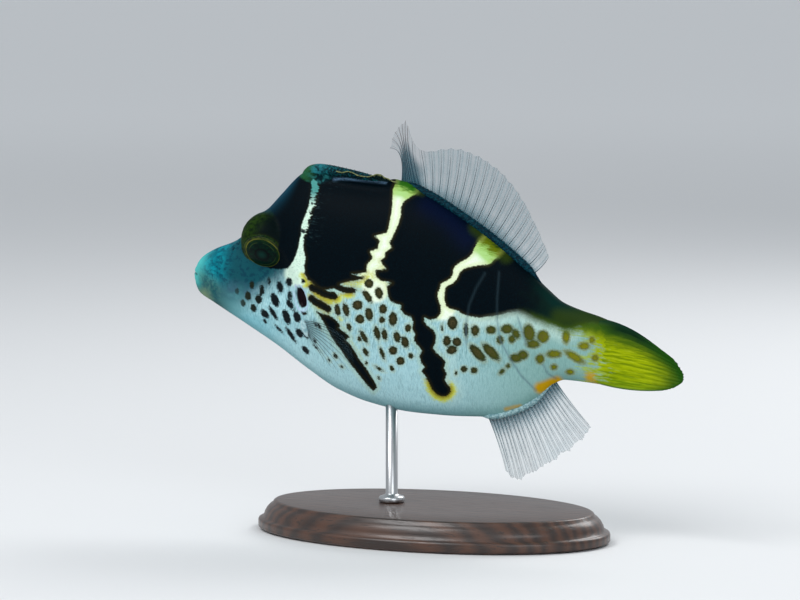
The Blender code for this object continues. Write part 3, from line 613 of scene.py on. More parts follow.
# The skin's flat pattern, one strip along the body and once round it, opened along the back.
PATTERN_MARGIN = 0.01
pattern = skin_mesh.uv_layers.new(name="OFBake")
corner_points = np.empty(len(skin_mesh.loops), np.int32)
skin_mesh.loops.foreach_get("vertex_index", corner_points)
row_of = np.append(np.repeat(np.arange(rows), columns), (0, rows - 1))
column_of = np.append(np.tile(np.arange(columns), rows), (0, 0))
u = row_of[corner_points] / (rows - 1)
column = column_of[corner_points].astype(float)
face_starts = np.empty(len(skin_mesh.polygons), np.int32)
skin_mesh.polygons.foreach_get("loop_start", face_starts)
sizes = np.diff(np.append(face_starts, len(corner_points)))
highest = np.repeat(np.maximum.reduceat(column, face_starts), sizes)
column = np.where((column == 0) & (highest > columns / 2), columns, column)
corners_uv = PATTERN_MARGIN + (1 - 2 * PATTERN_MARGIN) * np.stack((u, column / columns), axis=-1)
pattern.data.foreach_set("uv", corners_uv.ravel().astype(np.float32))


class Value:
    """A number or a colour that varies over a surface. Sums on it add Math nodes to its material."""

    def __init__(self, finish, socket):
        self.finish = finish
        self.socket = socket

    def sum(self, operation, *values):
        return self.finish.add("ShaderNodeMath", {"operation": operation}, dict(enumerate(values)))

    def __add__(self, other):
        return self.sum("ADD", self, other)

    def __sub__(self, other):
        return self.sum("SUBTRACT", self, other)

    def __rsub__(self, other):
        return self.sum("SUBTRACT", other, self)

    def __mul__(self, other):
        return self.sum("MULTIPLY", self, other)

    def __abs__(self):
        return self.sum("ABSOLUTE", self)

    __radd__ = __add__
    __rmul__ = __mul__

    def rises(self, start, end):
        """0 below start and 1 above end, smoothly between. It falls instead where end is the lower."""
        if start > end:
            return 1 - self.rises(end, start)
        sockets = {"Value": self, "From Min": start, "From Max": end}
        return self.finish.add("ShaderNodeMapRange", {"interpolation_type": "SMOOTHSTEP"}, sockets)


def colour(red, green, blue):
    """A colour named by its 0 to 255 screen values."""
    shares = [c / 255 for c in (red, green, blue)]
    linear = [c / 12.92 if c <= 0.04045 else ((c + 0.055) / 1.055) ** 2.4 for c in shares]
    return (*linear, 1.0)


class Finish:
    """A material, built from its shader back by expressions."""

    def __init__(self, name, **fixed):
        self.material = bpy.data.materials.new(name)
        self.material.use_nodes = True
        self.nodes = self.material.node_tree.nodes
        self.links = self.material.node_tree.links
        self.shader = self.nodes["Principled BSDF"]
        for label, value in fixed.items():
            self.shader.inputs[label.replace("_", " ").title().replace("Ior", "IOR")].default_value = value

    def add(self, kind, settings=None, sockets=None, output=0):
        """Adds a node: its settings first, then the values and links of its sockets."""
        node = self.nodes.new(kind)
        for setting, value in (settings or {}).items():
            setattr(node, setting, value)
        for socket, value in (sockets or {}).items():
            if isinstance(value, Value):
                self.links.new(value.socket, node.inputs[socket])
            else:
                node.inputs[socket].default_value = value
        return Value(self, node.outputs[output])

    def field(self, name, output=2):
        """One of the numbers that the mesh holds for each of its points."""
        return self.add("ShaderNodeAttribute", {"attribute_name": name}, output=output)

    def place(self):
        """The place that the mesh holds for each of its points: along the fish, across it and up."""
        return self.field("place", 1)

    def wide_place(self):
        """The place in metres, for what stands outside the fish."""
        return self.add("ShaderNodeTexCoord", output=3)

    def parts(self, vector):
        """The three numbers of a vector."""
        node = self.add("ShaderNodeSeparateXYZ", None, {0: vector}).socket.node
        return [Value(self, node.outputs[k]) for k in range(3)]

    def scaled(self, vector, scale):
        """A place and a scale for a texture. A scale of three numbers stretches the place itself."""
        if isinstance(scale, tuple):
            return self.add("ShaderNodeVectorMath", {"operation": "MULTIPLY"}, {0: vector, 1: scale}), 1.0
        return vector, scale

    def noise(self, vector, scale, detail=3.0, roughness=0.55):
        vector, scale = self.scaled(vector, scale)
        sockets = {"Vector": vector, "Scale": scale, "Detail": detail, "Roughness": roughness}
        return self.add("ShaderNodeTexNoise", None, sockets)

    def cells(self, vector, scale):
        vector, scale = self.scaled(vector, scale)
        return self.add("ShaderNodeTexVoronoi", None, {"Vector": vector, "Scale": scale})

    def mixed(self, share, first, second):
        """A colour that goes from first to second as share goes from 0 to 1."""
        first, second = (colour(*tone) if isinstance(tone, tuple) else tone for tone in (first, second))
        return self.add("ShaderNodeMix", {"data_type": "RGBA"}, {0: share, 6: first, 7: second}, output=2)

    def layered(self, tone, *layers):
        """A colour with others laid over it in turn, each given as a share and a colour."""
        for share, over in layers:
            tone = self.mixed(share, tone, over)
        return tone

    def feed(self, label, value):
        self.links.new(value.socket, self.shader.inputs[label])

    def bump(self, height, strength, distance):
        """Raises the surface by a height that varies, over a distance in metres."""
        sockets = {"Height": height, "Strength": strength, "Distance": distance}
        self.feed("Normal", self.add("ShaderNodeBump", None, sockets))


def make_piece(name, mesh, finish, replaced=()):
    """Adds a mesh to the model as a named piece that rides with it."""
    piece = bpy.data.objects.new(name, mesh)
    bpy.context.scene.collection.objects.link(piece)
    mesh.materials.clear()
    mesh.materials.append(finish.material)
    mesh.shade_smooth()
    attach(piece, "root")
    if replaced:
        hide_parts(*replaced)
    return piece


skin = Finish("skin", coat_roughness=0.35, specular_ior_level=0.03)
where = skin.place()
along, across, up = skin.parts(where)
streaks = skin.noise(where, (6.5, 2.0, 1.5), 4.0, 0.6)
hairlines = skin.noise(where, (4.4, 1.5, 0.5), 2.0, 0.5)
mottle = skin.noise(where, 0.55, 3.0)
fine = skin.noise(where, (8.0, 6.0, 5.0), 3.0, 0.65)
ragged = skin.noise(where, (2.4, 2.4, 4.0), 3.0, 0.7)
grains = skin.noise(where, (5.0, 5.0, 9.0), 2.0, 0.6)
dashes = skin.noise(where, (0.8, 0.8, 3.6), 3.0, 0.6)
net = skin.noise(where, (1.15, 1.15, 1.35), 3.0, 0.55)
prickles = skin.cells(where, (6.5, 6.5, 5.0))
off_middle = abs(across)
edge = skin.field("dark")
near_black = edge.rises(-5.5, -0.6)


def blended(share, first, second):
    """A number that goes from first to second as share goes from 0 to 1."""
    return first + (second - first) * share


def bell_share(value, middle, spread):
    """1 at the middle, falling to 0 a spread away on each side."""
    return value.rises(middle - spread, middle) * value.rises(middle + spread, middle)


# Teal snout, blue-grey cheeks, and bluish white flanks and belly with fine upright streaks.
bright_band = edge.rises(-17.0, -2.0) * along.rises(48.0, 55.0) * along.rises(75.0, 69.0)
white = skin.layered(
    (134, 182, 190),
    (streaks.rises(0.36, 0.62), (172, 214, 218)),
    (hairlines.rises(0.56, 0.63) * 0.55, (88, 132, 140)),
    (fine.rises(0.5, 0.75) * 0.4, (210, 232, 232)),
    (up.rises(-3.0, -9.0) * 0.45, (178, 220, 226)),
    (along.rises(24.0, 10.0) * up.rises(-1.5, -6.0) * 0.6, (80, 176, 194)),
    # Darker towards the lower edge of the belly: painted shade on the underside.
    (skin.field("above_belly").rises(2.6, 0.0) * 0.62, (78, 134, 140)),
    (along.rises(44.0, 68.0) * 0.75, (116, 156, 146)),
    (bright_band * (streaks.rises(0.3, 0.6) * 0.3 + 0.35), (200, 226, 214)),
)
snout_top = skin.layered(
    (0, 98, 114),
    (mottle.rises(0.35, 0.65), (6, 136, 150)),
    (net.rises(0.47, 0.6) * 0.75, (0, 66, 86)),
    (along.rises(5.0, 0.8) * 0.75, (72, 178, 180)),
)
snout_low = skin.layered(
    (18, 82, 88),
    (mottle.rises(0.35, 0.65), (66, 112, 104)),
    (net.rises(0.5, 0.6) * 0.5, (12, 66, 84)),
    (bell_share(along, 3.0, 2.4) * up.rises(-0.8, -2.6) * 0.8, (120, 144, 108)),
    # These two layers darken the underside of the head behind the chin: painted shade.
    ((along * 0.75 - up).rises(5.5, 9.5) * 0.8, (34, 94, 98)),
    (bell_share(along, 5.5, 3.2) * up.rises(-2.4, -4.4) * 0.6, (26, 58, 46)),
)
cheek = skin.layered(
    (92, 150, 156),
    ((up + (mottle - 0.5) * 3.0).rises(-4.5, 1.6), (14, 74, 84)),
    (bell_share(up, -0.5, 2.5) * mottle.rises(0.35, 0.6) * 0.7, (58, 92, 110)),
    ((net.rises(0.52, 0.62) * up.rises(-1.0, 2.5)) * 0.7, (6, 52, 70)),
)
snout = skin.layered(
    snout_low,
    ((up + along * 0.32).rises(0.6, 4.0), snout_top),
    ((along + (mottle - 0.5) * 2.0).rises(3.6, 0.4) * up.rises(-2.6, 0.0) * 0.75, (84, 200, 196)),
    (along.rises(5.0, 10.0), cheek),
)
ground = skin.mixed((along + (mottle - 0.5) * 3.5 - up * 1.05).rises(12.0, 19.0), snout, white)

# Cream bars between the saddles: icy and speckled on the first, greener towards the back on the others.
cream = skin.layered(
    (222, 240, 214),
    (fine.rises(0.3, 0.7), (244, 253, 238)),
    (near_black * 0.25, (204, 222, 134)),
)
icy = skin.layered(
    (190, 224, 204),
    (fine.rises(0.3, 0.7), (224, 243, 226)),
    (up.rises(14.8, 18.4), (72, 146, 140)),
    (ragged.rises(0.56, 0.66) * 0.6, (60, 104, 108)),
)
cream = skin.mixed(along.rises(28.0, 25.5), cream, icy)
green = skin.field("green") + (dashes - 0.5) * 0.9 + (fine - 0.5) * 0.2
leaf_green = skin.mixed(along.rises(40.0, 46.0), (40, 98, 14), (92, 106, 4))
fringe = near_black * along.rises(24.5, 27.0) * along.rises(66.0, 52.0)
ground = skin.layered(
    ground,
    (skin.field("bars").rises(0.3, 0.62), cream),
    (skin.field("green").rises(0.0, 0.22), (166, 208, 126)),
    (green.rises(0.28, 0.6) * 0.8, (132, 172, 70)),
    (green.rises(0.5, 0.85), leaf_green),
    (green.rises(0.95, 1.25) * 0.8, (20, 52, 14)),
    (fringe * 0.22, (186, 194, 110)),
)

# Lemon halos round parts of the saddles.
halo = (skin.field("yellow") + (ragged - 0.5) * 1.1).rises(0.15, 1.0)
halo = halo * (edge.rises(-9.5, -0.5) + (ragged - 0.5) * 1.3).rises(0.1, 0.9)
lemon = skin.mixed((edge + (fine - 0.5) * 3.0).rises(-4.5, 0.0), (202, 208, 60), (150, 138, 2))
ground = skin.mixed(halo * 0.95, ground, lemon)


def yellowing(finish, where):
    """How far the yellow of the tail has taken over at a place, in streaks along the body."""
    along, _, up = finish.parts(where)
    streaks = finish.noise(where, (0.28, 2.0, 2.2), 3.0, 0.6)
    mottle = finish.noise(where, 0.55, 3.0)
    reach = along + (mottle - 0.5) * 4.0 + (streaks - 0.5) * 16.0 + up.rises(0.0, 4.5) * 5.5
    return reach.rises(72.4, 77.2)


# The root of the tail turns yellow, with pale streaks along it.
tail_streaks = skin.noise(where, (0.28, 2.0, 2.2), 3.0, 0.6)
tail_yellow = skin.layered(
    (146, 162, 0),
    (tail_streaks.rises(0.42, 0.62) * along.rises(75.5, 73.0), (156, 180, 70)),
    (tail_streaks.rises(0.42, 0.35), (106, 126, 2)),
    ((up + (mottle - 0.5) * 2.0).rises(1.2, 4.0), (52, 82, 6)),
)
ground = skin.layered(
    ground,
    (yellowing(skin, where), tail_yellow),
    ((skin.field("orange") + (mottle - 0.5) * 0.4).rises(0.2, 0.95), (188, 146, 6)),
)

# Brown spots, blackish on the head and olive towards the tail, darker round their edges, in a warm fringe.
spot_edge = skin.field("spots") + (ragged - 0.5) * 3.4 + (fine - 0.5) * 1.6
spot_fringe = spot_edge.rises(-2.4, -0.4) * along.rises(24.0, 30.0) * 0.3
ground = skin.mixed(spot_fringe, ground, (176, 178, 120))
spot_mask = blended(along.rises(50.0, 66.0), spot_edge.rises(-0.7, 0.6), spot_edge.rises(-2.5, 1.4))
spot_middle = skin.field("spots").rises(0.8, 3.4) * fine.rises(0.3, 0.7) * along.rises(22.0, 30.0) * 0.7
spot_rim = spot_edge.rises(2.2, 0.4) * along.rises(30.0, 40.0) * 0.55
spot_colour = skin.layered(
    (8, 18, 22),
    (along.rises(24.0, 33.0), (40, 42, 22)),
    (along.rises(52.0, 64.0), (70, 80, 16)),
    (along.rises(63.0, 72.0), (122, 126, 8)),
    (spot_middle, (86, 74, 44)),
    (spot_rim, (34, 42, 14)),
    (along.rises(17.0, 12.0), (26, 34, 22)),
)
body_colour = skin.mixed(spot_mask * (along.rises(6.5, 13.0) * 0.8 + 0.2), ground, spot_colour)

# Blue-black saddles and stripes with ragged edges, going green along the top of the tail's root.
specked = skin.field("specks")
dark_edge = edge + (ragged - 0.5) * 3.2 + (fine - 0.5) * 1.6 + (dashes - 0.5) * specked * 15.0
dark_mask = blended(along.rises(53.0, 64.0), dark_edge.rises(-0.6, 0.7), dark_edge.rises(-8.0, 4.0))
dark_mask = blended(skin.field("glow").rises(0.3, 0.9), dark_mask, dark_edge.rises(-3.0, 4.0))
rear_green = skin.mixed(edge.rises(9.0, 0.0), (6, 34, 26), (64, 88, 14))
top_edge = (skin.field("below_back") + (mottle - 0.5) * 1.2).rises(2.0, 0.5) * along.rises(61.0, 68.0)
olive = skin.mixed(skin.noise(where, 1.7, 3.0).rises(0.35, 0.65), (10, 34, 4), (40, 68, 8))
turret_share = skin.field("turret").rises(-0.4, 0.3)
teal_back = skin.layered(
    (2, 28, 34),
    (net.rises(0.45, 0.6) * (along.rises(30.0, 22.0) * 0.6 + 0.4), (28, 90, 92)),
    ((along + off_middle * -0.4).rises(21.6, 18.6) * 0.85, (34, 88, 46)),
)
cap_share = (skin.field("teal_cap") + (ragged - 0.5) * 5.0).rises(-1.5, 1.5) * along.rises(40.0, 24.0)
# The forehead mask places a painted blue sheen along the forehead's edge, between the turret and the knob.
forehead_sheen = up.rises(10.5, 13.5) * off_middle.rises(4.6, 1.2) * along.rises(19.5, 16.5)
black = skin.layered(
    (0, 6, 12),
    (fine.rises(0.42, 0.75), (0, 17, 25)),
    (edge.rises(4.5, 0.0) * along.rises(20.0, 26.0) * (grains.rises(0.3, 0.6) * 0.6 + 0.3), (38, 34, 12)),
    ((dashes + (grains - 0.5) * 0.3).rises(0.54, 0.7) * specked * 0.7, (34, 54, 58)),
    ((along + (mottle - 0.5) * 6.0).rises(61.0, 69.0), rear_green),
    (top_edge, (4, 38, 34)),
    (turret_share * (along + up * -0.35).rises(12.2, 8.4) * 0.95, olive),
    (turret_share * 0.3, (8, 22, 10)),
    (cap_share * 0.9, teal_back),
    # painted sheen on the forehead
    (forehead_sheen * 0.85, (6, 68, 90)),
    (skin.field("navy") * 0.4, (2, 14, 54)),
    ((skin.field("glow") + (fine - 0.5) * 0.3).rises(0.4, 1.1) * 0.7, (44, 62, 8)),
)
body_colour = skin.mixed(dark_mask, body_colour, black)

# Details: the lips of the groove under the spine, the lid's fold, creases, gill slits, nostrils and mouth.
# The creases are painted grey-blue: darker than the pale flank, as painted shade in the folds, and a grey
# line across the black.
crease_line_and_shade = skin.mixed(dark_mask, (72, 98, 112), (38, 56, 64))
body_colour = skin.layered(
    body_colour,
    (skin.field("groove_lip") * grains.rises(0.3, 0.55) * 0.75, (96, 130, 160)),
    (skin.field("lid") * 0.6, (52, 66, 12)),
    (skin.field("crease") * 0.5, crease_line_and_shade),
    (skin.field("gill_rim") * 0.9, (176, 192, 222)),
    # The open gill slit is painted nearly black inside: painted shade in the opening.
    (skin.field("gill").rises(0.05, 0.5), (14, 2, 9)),
    # Nostril pits and the mouth's slit are painted dark: painted shade in the hollows.
    (skin.field("pits") * 0.7, (4, 30, 40)),
)
skin.feed("Base Color", body_colour)
skin.feed("Roughness", 0.42 + fine * 0.25)
skin.feed("Coat Weight", (1.0 - dark_mask) * 0.07 + 0.01)
grain = prickles * -0.5 + streaks * 0.5 + fine * 0.5
skin.bump(grain, 0.5, 0.00010)
make_piece("skin", skin_mesh, skin, ("head", "trunk", "belly", "peduncle"))

# The eyes. Each is a bulging, wet ball in its turret: a dark round pupil in a dark green iris that thin gold
# lines ring. A rolled lid of skin closes round it.
EYEBALL_SEGMENTS = 96
EYE_DOME = 0.62
BALL_FRONT_RINGS, BALL_BACK_RINGS = 44, 16
LID_SEGMENTS = 160
LID_PROFILE = [
    (-0.42, -0.52), (-0.2, -0.12), (-0.06, 0.08), (0.08, 0.13), (0.22, 0.06), (0.36, -0.03), (0.5, -0.12),
    (0.66, -0.3),
]
LID_TUCK = 0.9
LID_FOLD = [0.0, 0.0, 0.2, 0.5, 0.8, 1.0, 1.0, 1.0, 1.0, 1.0]


def turned(profile, segments, side):
    """Rings of points: (out, forward) profile points turned round the gaze of the eye on one side."""
    middle, ahead = TURRET * (1, side, 1), GAZE * (1, side, 1)
    level = unit(np.cross(ahead, (0.0, 0.0, 1.0)))
    angles = np.arange(segments)[:, None] * 2 * math.pi / segments
    spin = np.cos(angles) * level + np.sin(angles) * np.cross(ahead, level)
    return np.concatenate([middle + ahead * forward + spin * out for out, forward in profile])


eye = Finish("wet_eye", roughness=0.4, coat_weight=0.05, coat_roughness=0.05, specular_ior_level=0.03)
off_centre = eye.field("off_centre")
around = eye.place()
flecks = eye.noise(around, 2.2, 4.0, 0.65)
rays = eye.noise(around, 4.0, 2.0)
iris = eye.layered(
    (0, 16, 13),
    (flecks.rises(0.35, 0.7), (0, 34, 22)),
    (off_centre.rises(2.3, 3.1) * rays.rises(0.35, 0.65), (34, 56, 10)),
)
inner_ring = off_centre.rises(2.22, 2.29) * off_centre.rises(2.42, 2.34)
outer_ring = off_centre.rises(2.84, 2.92) * off_centre.rises(3.06, 2.98)
worn = eye.noise(around, 0.5, 2.0).rises(0.35, 0.6)
iris = eye.layered(
    iris,
    (inner_ring * worn * 0.4, (64, 82, 32)),
    (outer_ring * (worn * 0.6 + 0.2), (112, 112, 42)),
)
# The pupil lightens to teal at its middle: a painted highlight.
pupil = eye.mixed(off_centre.rises(1.25, 0.1) * 0.8, (0, 7, 8), (2, 48, 40))
eye.feed("Base Color", eye.mixed(off_centre.rises(1.5, 1.15), iris, pupil))

lid_finish = Finish("eyelid", coat_weight=0.08, coat_roughness=0.3, specular_ior_level=0.1)
lid_place = lid_finish.place()
lid_noise = lid_finish.noise(lid_place, 1.6, 3.0)
lid_colour = lid_finish.layered(
    (10, 24, 6),
    (lid_noise.rises(0.35, 0.65), (54, 70, 12)),
    (lid_finish.field("fold").rises(0.3, 0.8) * 0.7, (6, 14, 18)),
)
lid_finish.feed("Base Color", lid_colour)
lid_finish.feed("Roughness", 0.35 + lid_noise * 0.25)
lid_finish.bump(lid_finish.cells(lid_place, 6.0), 0.4, 0.0001)

ring_out, ring_forward = TURRET_RADIUS * math.sin(opening), TURRET_RADIUS * math.cos(opening)
ball_profile = []
for out in np.linspace(0.01, EYEBALL_RADIUS, BALL_FRONT_RINGS):
    ball_profile.append((out, ring_forward + EYE_DOME * (1 - (out / ring_out) ** 2)))
front_edge = ball_profile[-1][1]
for lift in np.linspace(0.1, math.pi / 2 - 0.02, BALL_BACK_RINGS):
    ball_profile.append((EYEBALL_RADIUS * math.cos(lift), front_edge - 0.9 * EYEBALL_RADIUS * math.sin(lift)))
lid_profile = []
for step_out, lift in LID_PROFILE:
    angle, reach_out = opening + step_out / TURRET_RADIUS, TURRET_RADIUS + lift
    lid_profile.append((reach_out * math.sin(angle), reach_out * math.cos(angle)))
lid_profile += [(ring_out + out, ring_forward - LID_TUCK) for out in (0.3, -0.2)]

for side, name in ((-1, "left"), (1, "right")):
    rings = turned(ball_profile, EYEBALL_SEGMENTS, side)
    ends = [TURRET * (1, side, 1) + GAZE * (1, side, 1) * ball_profile[k][1] for k in (0, -1)]
    outs = np.repeat([out for out, forward in ball_profile], EYEBALL_SEGMENTS)
    faces = ring_faces(len(ball_profile), EYEBALL_SEGMENTS)
    ball = fish_mesh("eye_" + name, np.vstack((rings, ends)), faces, off_centre=np.append(outs, (0.0, 0.0)))
    make_piece("eye_" + name, ball, eye, ("eye_" + name,))
    rings = turned(lid_profile, LID_SEGMENTS, side)
    faces = ring_faces(len(lid_profile), LID_SEGMENTS, "joined")
    rim = fish_mesh("eyelid_" + name, rings, faces, fold=np.repeat(LID_FOLD, LID_SEGMENTS))
    make_piece("eyelid_" + name, rim, lid_finish)

# The first dorsal spine, folded back along the ridge. It is a stout, rough, tapering spine with rows of small
# barbs, rooted in a knob of skin, and its own ragged, pale-edged skin lies folded down its left side.
SPINE_LINE = [
    (18.6, 19.6, 0.5), (19.3, 20.4, 0.9), (20.3, 21.0, 1.08), (22.0, 21.4, 1.02), (24.5, 21.55, 0.86),
    (28.0, 21.5, 0.72), (31.5, 21.3, 0.56), (34.0, 21.1, 0.36), (36.4, 20.85, 0.1),
]
SPINE_STEPS = 150
SPINE_SEGMENTS = 28
BARB_ROWS = (50, 130, 230, 310)
BARBS_A_ROW = 17
FIRST_BARB_STEP, STEPS_WITH_BARBS = 34, 110
BARB_STAGGER = 0.25
BARB_LENGTH = 0.42
BARB_RADIUS = 0.13
BARB_LEAN = np.array((-0.75, 0.0, 0.05))
FOLD_COLUMNS = 160
FOLD_STEPS = 9
FOLD_OUT = 1.25
FOLD_HALF_THICK = 0.07
FOLD_EDGE = [
    (336, 171.5), (342, 173), (347, 171.5), (352, 172.5), (357, 175.5), (362, 176.5), (367, 177),
    (372, 175.5), (377, 174), (381, 174.5), (384, 177), (388, 178.5), (392, 181), (397, 182.5),
]


def across_path(path, side):
    """Two unit vectors across a path at each of its points, the first as near as it can be to side."""
    tangent = unit(np.gradient(path, axis=0))
    side = np.broadcast_to(np.asarray(side, float), path.shape)
    first = unit(side - (side * tangent).sum(1, keepdims=True) * tangent)
    return first, np.cross(tangent, first)


def tube(path, wide, deep, segments, side=(0.0, 1.0, 0.0)):
    """Points and faces of a closed tube along a path, wide and deep in half sizes at each step."""
    first, second = across_path(path, side)
    spin = np.arange(segments) * 2 * math.pi / segments
    ring = (
        path[:, None]
        + first[:, None] * (np.cos(spin) * np.reshape(wide, (-1, 1)))[..., None]
        + second[:, None] * (np.sin(spin) * np.reshape(deep, (-1, 1)))[..., None]
    )
    return ring.reshape(-1, 3), ring_faces(len(path), segments, "flat")


def joined(parts):
    """Several (points, faces) pairs as one."""
    points, faces, start = [], [], 0
    for some_points, some_faces in parts:
        points.append(some_points)
        faces += [[k + start for k in face] for face in some_faces]
        start += len(some_points)
    return np.concatenate(points), faces


def leaf(grid, half_thick):
    """Points and faces of a thin closed leaf round a grid of points, with its half thickness at each."""
    normal = unit(np.cross(np.gradient(grid, axis=0), np.gradient(grid, axis=1)))
    lift = normal * np.asarray(half_thick)[..., None]
    points = np.concatenate(((grid + lift).reshape(-1, 3), (grid - lift).reshape(-1, 3)))
    n, m = grid.shape[:2]
    at = np.arange(n * m).reshape(n, m)
    faces = np.stack((at[:-1, :-1], at[1:, :-1], at[1:, 1:], at[:-1, 1:]), axis=-1).reshape(-1, 4)
    far = faces[:, ::-1] + n * m
    edge = np.concatenate((at[:, 0], at[-1, 1:], at[-2::-1, -1], at[0, -2:0:-1]))
    beside = np.roll(edge, -1)
    rim = np.stack((edge, edge + n * m, beside + n * m, beside), axis=-1)
    return points, np.vstack((faces, far, rim)).tolist()


spine_s, spine_h, spine_radius = np.array(SPINE_LINE).T
spine_at = np.linspace(spine_s[0], spine_s[-1], SPINE_STEPS)
spine_height = smooth_line(list(zip(spine_s, spine_h)))(spine_at)
thickness = smooth_line(list(zip(spine_s, spine_radius)))(spine_at)
spine_path = np.stack((spine_at, np.zeros(SPINE_STEPS), spine_height), axis=-1)
parts = [tube(spine_path, thickness, thickness, SPINE_SEGMENTS)]
across_spine, up_spine = across_path(spine_path, (0.0, 1.0, 0.0))
steps = np.linspace(0, 1, 5)
for row, row_angle in enumerate(BARB_ROWS):
    spin = math.radians(row_angle)
    for k in range(BARBS_A_ROW):
        i = int(FIRST_BARB_STEP + STEPS_WITH_BARBS * (k + BARB_STAGGER * row) / BARBS_A_ROW)
        outward_here = across_spine[i] * math.cos(spin) - up_spine[i] * math.sin(spin)
        root = spine_path[i] + outward_here * thickness[i] * 0.85
        reach_here = BARB_LENGTH * (0.55 + 0.5 * thickness[i]) * (outward_here * 0.75 + BARB_LEAN)
        barb = root + reach_here * steps[:, None] + outward_here * 0.12 * steps[:, None] ** 2
        taper = BARB_RADIUS * (1.02 - steps)
        parts.append(tube(barb, taper, taper, 6, (0.3, 0.9, 0.2)))
spine_mesh = fish_mesh("dorsal_spine", *joined(parts))

spine = Finish("rough_spine", specular_ior_level=0.08)
where = spine.place()
along = spine.parts(where)[0]
specks = spine.noise(where, 2.6, 3.0, 0.75)
blotches = spine.noise(where, 0.8, 2.0)
spine_colour = spine.layered(
    (0, 28, 36),
    (specks.rises(0.48, 0.62), (14, 90, 96)),
    (along.rises(24.5, 21.0) * blotches.rises(0.45, 0.62) * 0.7, (40, 132, 142)),
    (along.rises(21.4, 19.4) * 0.85, (34, 88, 44)),
    (along.rises(30.0, 35.0) * 0.6, (20, 40, 40)),
)
spine.feed("Base Color", spine_colour)
spine.feed("Roughness", 0.42 + specks * 0.3)
spine.bump(spine.cells(where, 3.4) + specks, 0.8, 0.00018)
make_piece("dorsal_spine", spine_mesh, spine, ("dorsal_spine",))

edge_x = np.array(FOLD_EDGE)[:, 0]
fold_edge_x = np.interp(np.linspace(0, 1, FOLD_COLUMNS), np.linspace(0, 1, len(edge_x)), edge_x)
fold_edge_y = smooth_line(FOLD_EDGE)(fold_edge_x)
steps = np.linspace(0, 1, FOLD_STEPS)[:, None]
fold_grid = []
for i, pixel in enumerate(zip(fold_edge_x, fold_edge_y)):
    ripple = 0.16 * math.sin(i * 0.42) + 0.08 * math.sin(i * 1.13)
    outer = on_plane(pixel, -FOLD_OUT - ripple)
    k = int(np.interp(outer[0], spine_at, np.arange(SPINE_STEPS)))
    root = spine_path[k] + np.array((0.0, -0.55, 0.25)) * thickness[k]
    fold_grid.append(root + (outer - root) * steps + np.array((0.0, -0.3, 0.12)) * (steps * (1 - steps)) * 2)
fold_grid = np.array(fold_grid)
fold_points, fold_faces = leaf(fold_grid, np.full(fold_grid.shape[:2], FOLD_HALF_THICK))
fold_mesh = fish_mesh("spine_fold", fold_points, fold_faces, outer=np.tile(steps.ravel(), 2 * FOLD_COLUMNS))
fold = Finish("folded_skin", roughness=0.55, specular_ior_level=0.15)
where = fold.place()
grit = fold.noise(where, 3.0, 3.0, 0.7)
fold_edge = (fold.field("outer") + (grit - 0.5) * 1.3).rises(0.66, 1.0)
fold_colour = fold.layered(
    (4, 24, 26),
    (grit.rises(0.4, 0.65), (20, 54, 50)),
    (fold_edge * 0.9, (132, 138, 88)),
)
fold.feed("Base Color", fold_colour)
make_piece("spine_fold", fold_mesh, fold)

# The soft fins. Fine springy rays stand along a fleshy base and carry a clear, faintly blue skin between
# them. The second dorsal fin's first rays bunch into a tuft that bends forward over the spine.
DORSAL_ROOTS = [
    (402, 180), (404.5, 181), (407, 182), (409.5, 183), (412, 184.5), (415, 186), (418, 187.5),
    (422, 189.5), (427, 192.5), (432.5, 196), (438, 199), (444, 203), (450, 207), (456, 210.5),
    (462, 214.5), (468, 218.5), (474, 223), (480, 227), (486, 231.5), (492, 236.5), (498, 241.5),
    (504, 246.5), (511, 252), (518, 258), (525, 265), (532, 272),
]
DORSAL_TIPS = [
    (390, 148), (392, 139), (395, 132), (398.5, 127), (402, 124), (405.5, 120.5), (408, 126), (413, 141),
    (421, 150), (431, 151), (441, 149), (451, 148), (461, 149), (470, 152), (479, 156), (488, 161.5),
    (497, 168), (505, 175.5), (512, 184), (519, 193.5), (525, 203), (530, 213), (535, 223), (540, 234),
    (545, 245.5), (549, 257),
]
DORSAL_WAISTS = [
    (401, 158), (402, 155.5), (403, 153), (404, 151.5), (405, 150), (406.5, 149), (409, 151), (414, 162),
]
DORSAL_BEND = [(0, 0.4), (0.25, 1.3), (0.45, -0.9), (0.7, -2.2), (0.9, -1.4), (1, -0.6)]
ANAL_ROOTS = [
    (487.5, 415), (491, 415), (494.5, 414.5), (498, 414), (501.5, 413.5), (505, 412.5), (508.5, 411.5),
    (512, 410.5), (515.5, 409), (519, 407.5), (522, 406), (525.5, 404.5), (529, 402.5), (532, 400.5),
    (535, 398.5), (538, 396.5), (540.5, 394.5), (543, 392.5), (545.5, 390.5), (548, 388.5), (550.5, 386.5),
    (553, 384.5), (555.5, 382.5),
]
ANAL_TIPS = [
    (506, 470), (510, 477), (513.5, 479.5), (517, 480), (521, 479), (525, 477), (529, 475), (533, 472.5),
    (537.5, 470), (542, 467.5), (546.5, 465), (551, 462), (555.5, 459), (560, 456), (564.5, 453),
    (569, 450), (573.5, 447), (577.5, 443.5), (581.5, 440), (585, 436.5), (588, 433), (590, 429),
    (590.5, 424),
]
ANAL_BEND = [(0, 0.2), (0.2, 1.3), (0.5, -1.4), (0.8, 0.8), (1, 0.0)]
RAY_STEPS = 26
COLUMNS_BETWEEN = 8
EDGE_NOTCH = 0.022
WEB_HALF_THICK = 0.045
WEB_SLACK = 0.1
RAY_SEGMENTS = 8
DORSAL_RAY_HALF, ANAL_RAY_HALF = (0.1, 0.03), (0.08, 0.02)
ROOT_SUNK = 0.3
# Where the tuft and its brown tip begin: the heights they rise above and the places they end at.
TUFT = ((20.0, 21.0), (39.0, 41.5))
TUFT_TIP = ((25.5, 29.5), (38.5, 41.5))


def arched(start, end, through):
    """A smooth path from start to end that passes through a middle place."""
    t = np.linspace(0, 1, RAY_STEPS)[:, None]
    bend = 2 * through - (start + end) / 2
    return (1 - t) ** 2 * start + 2 * t * (1 - t) * bend + t * t * end


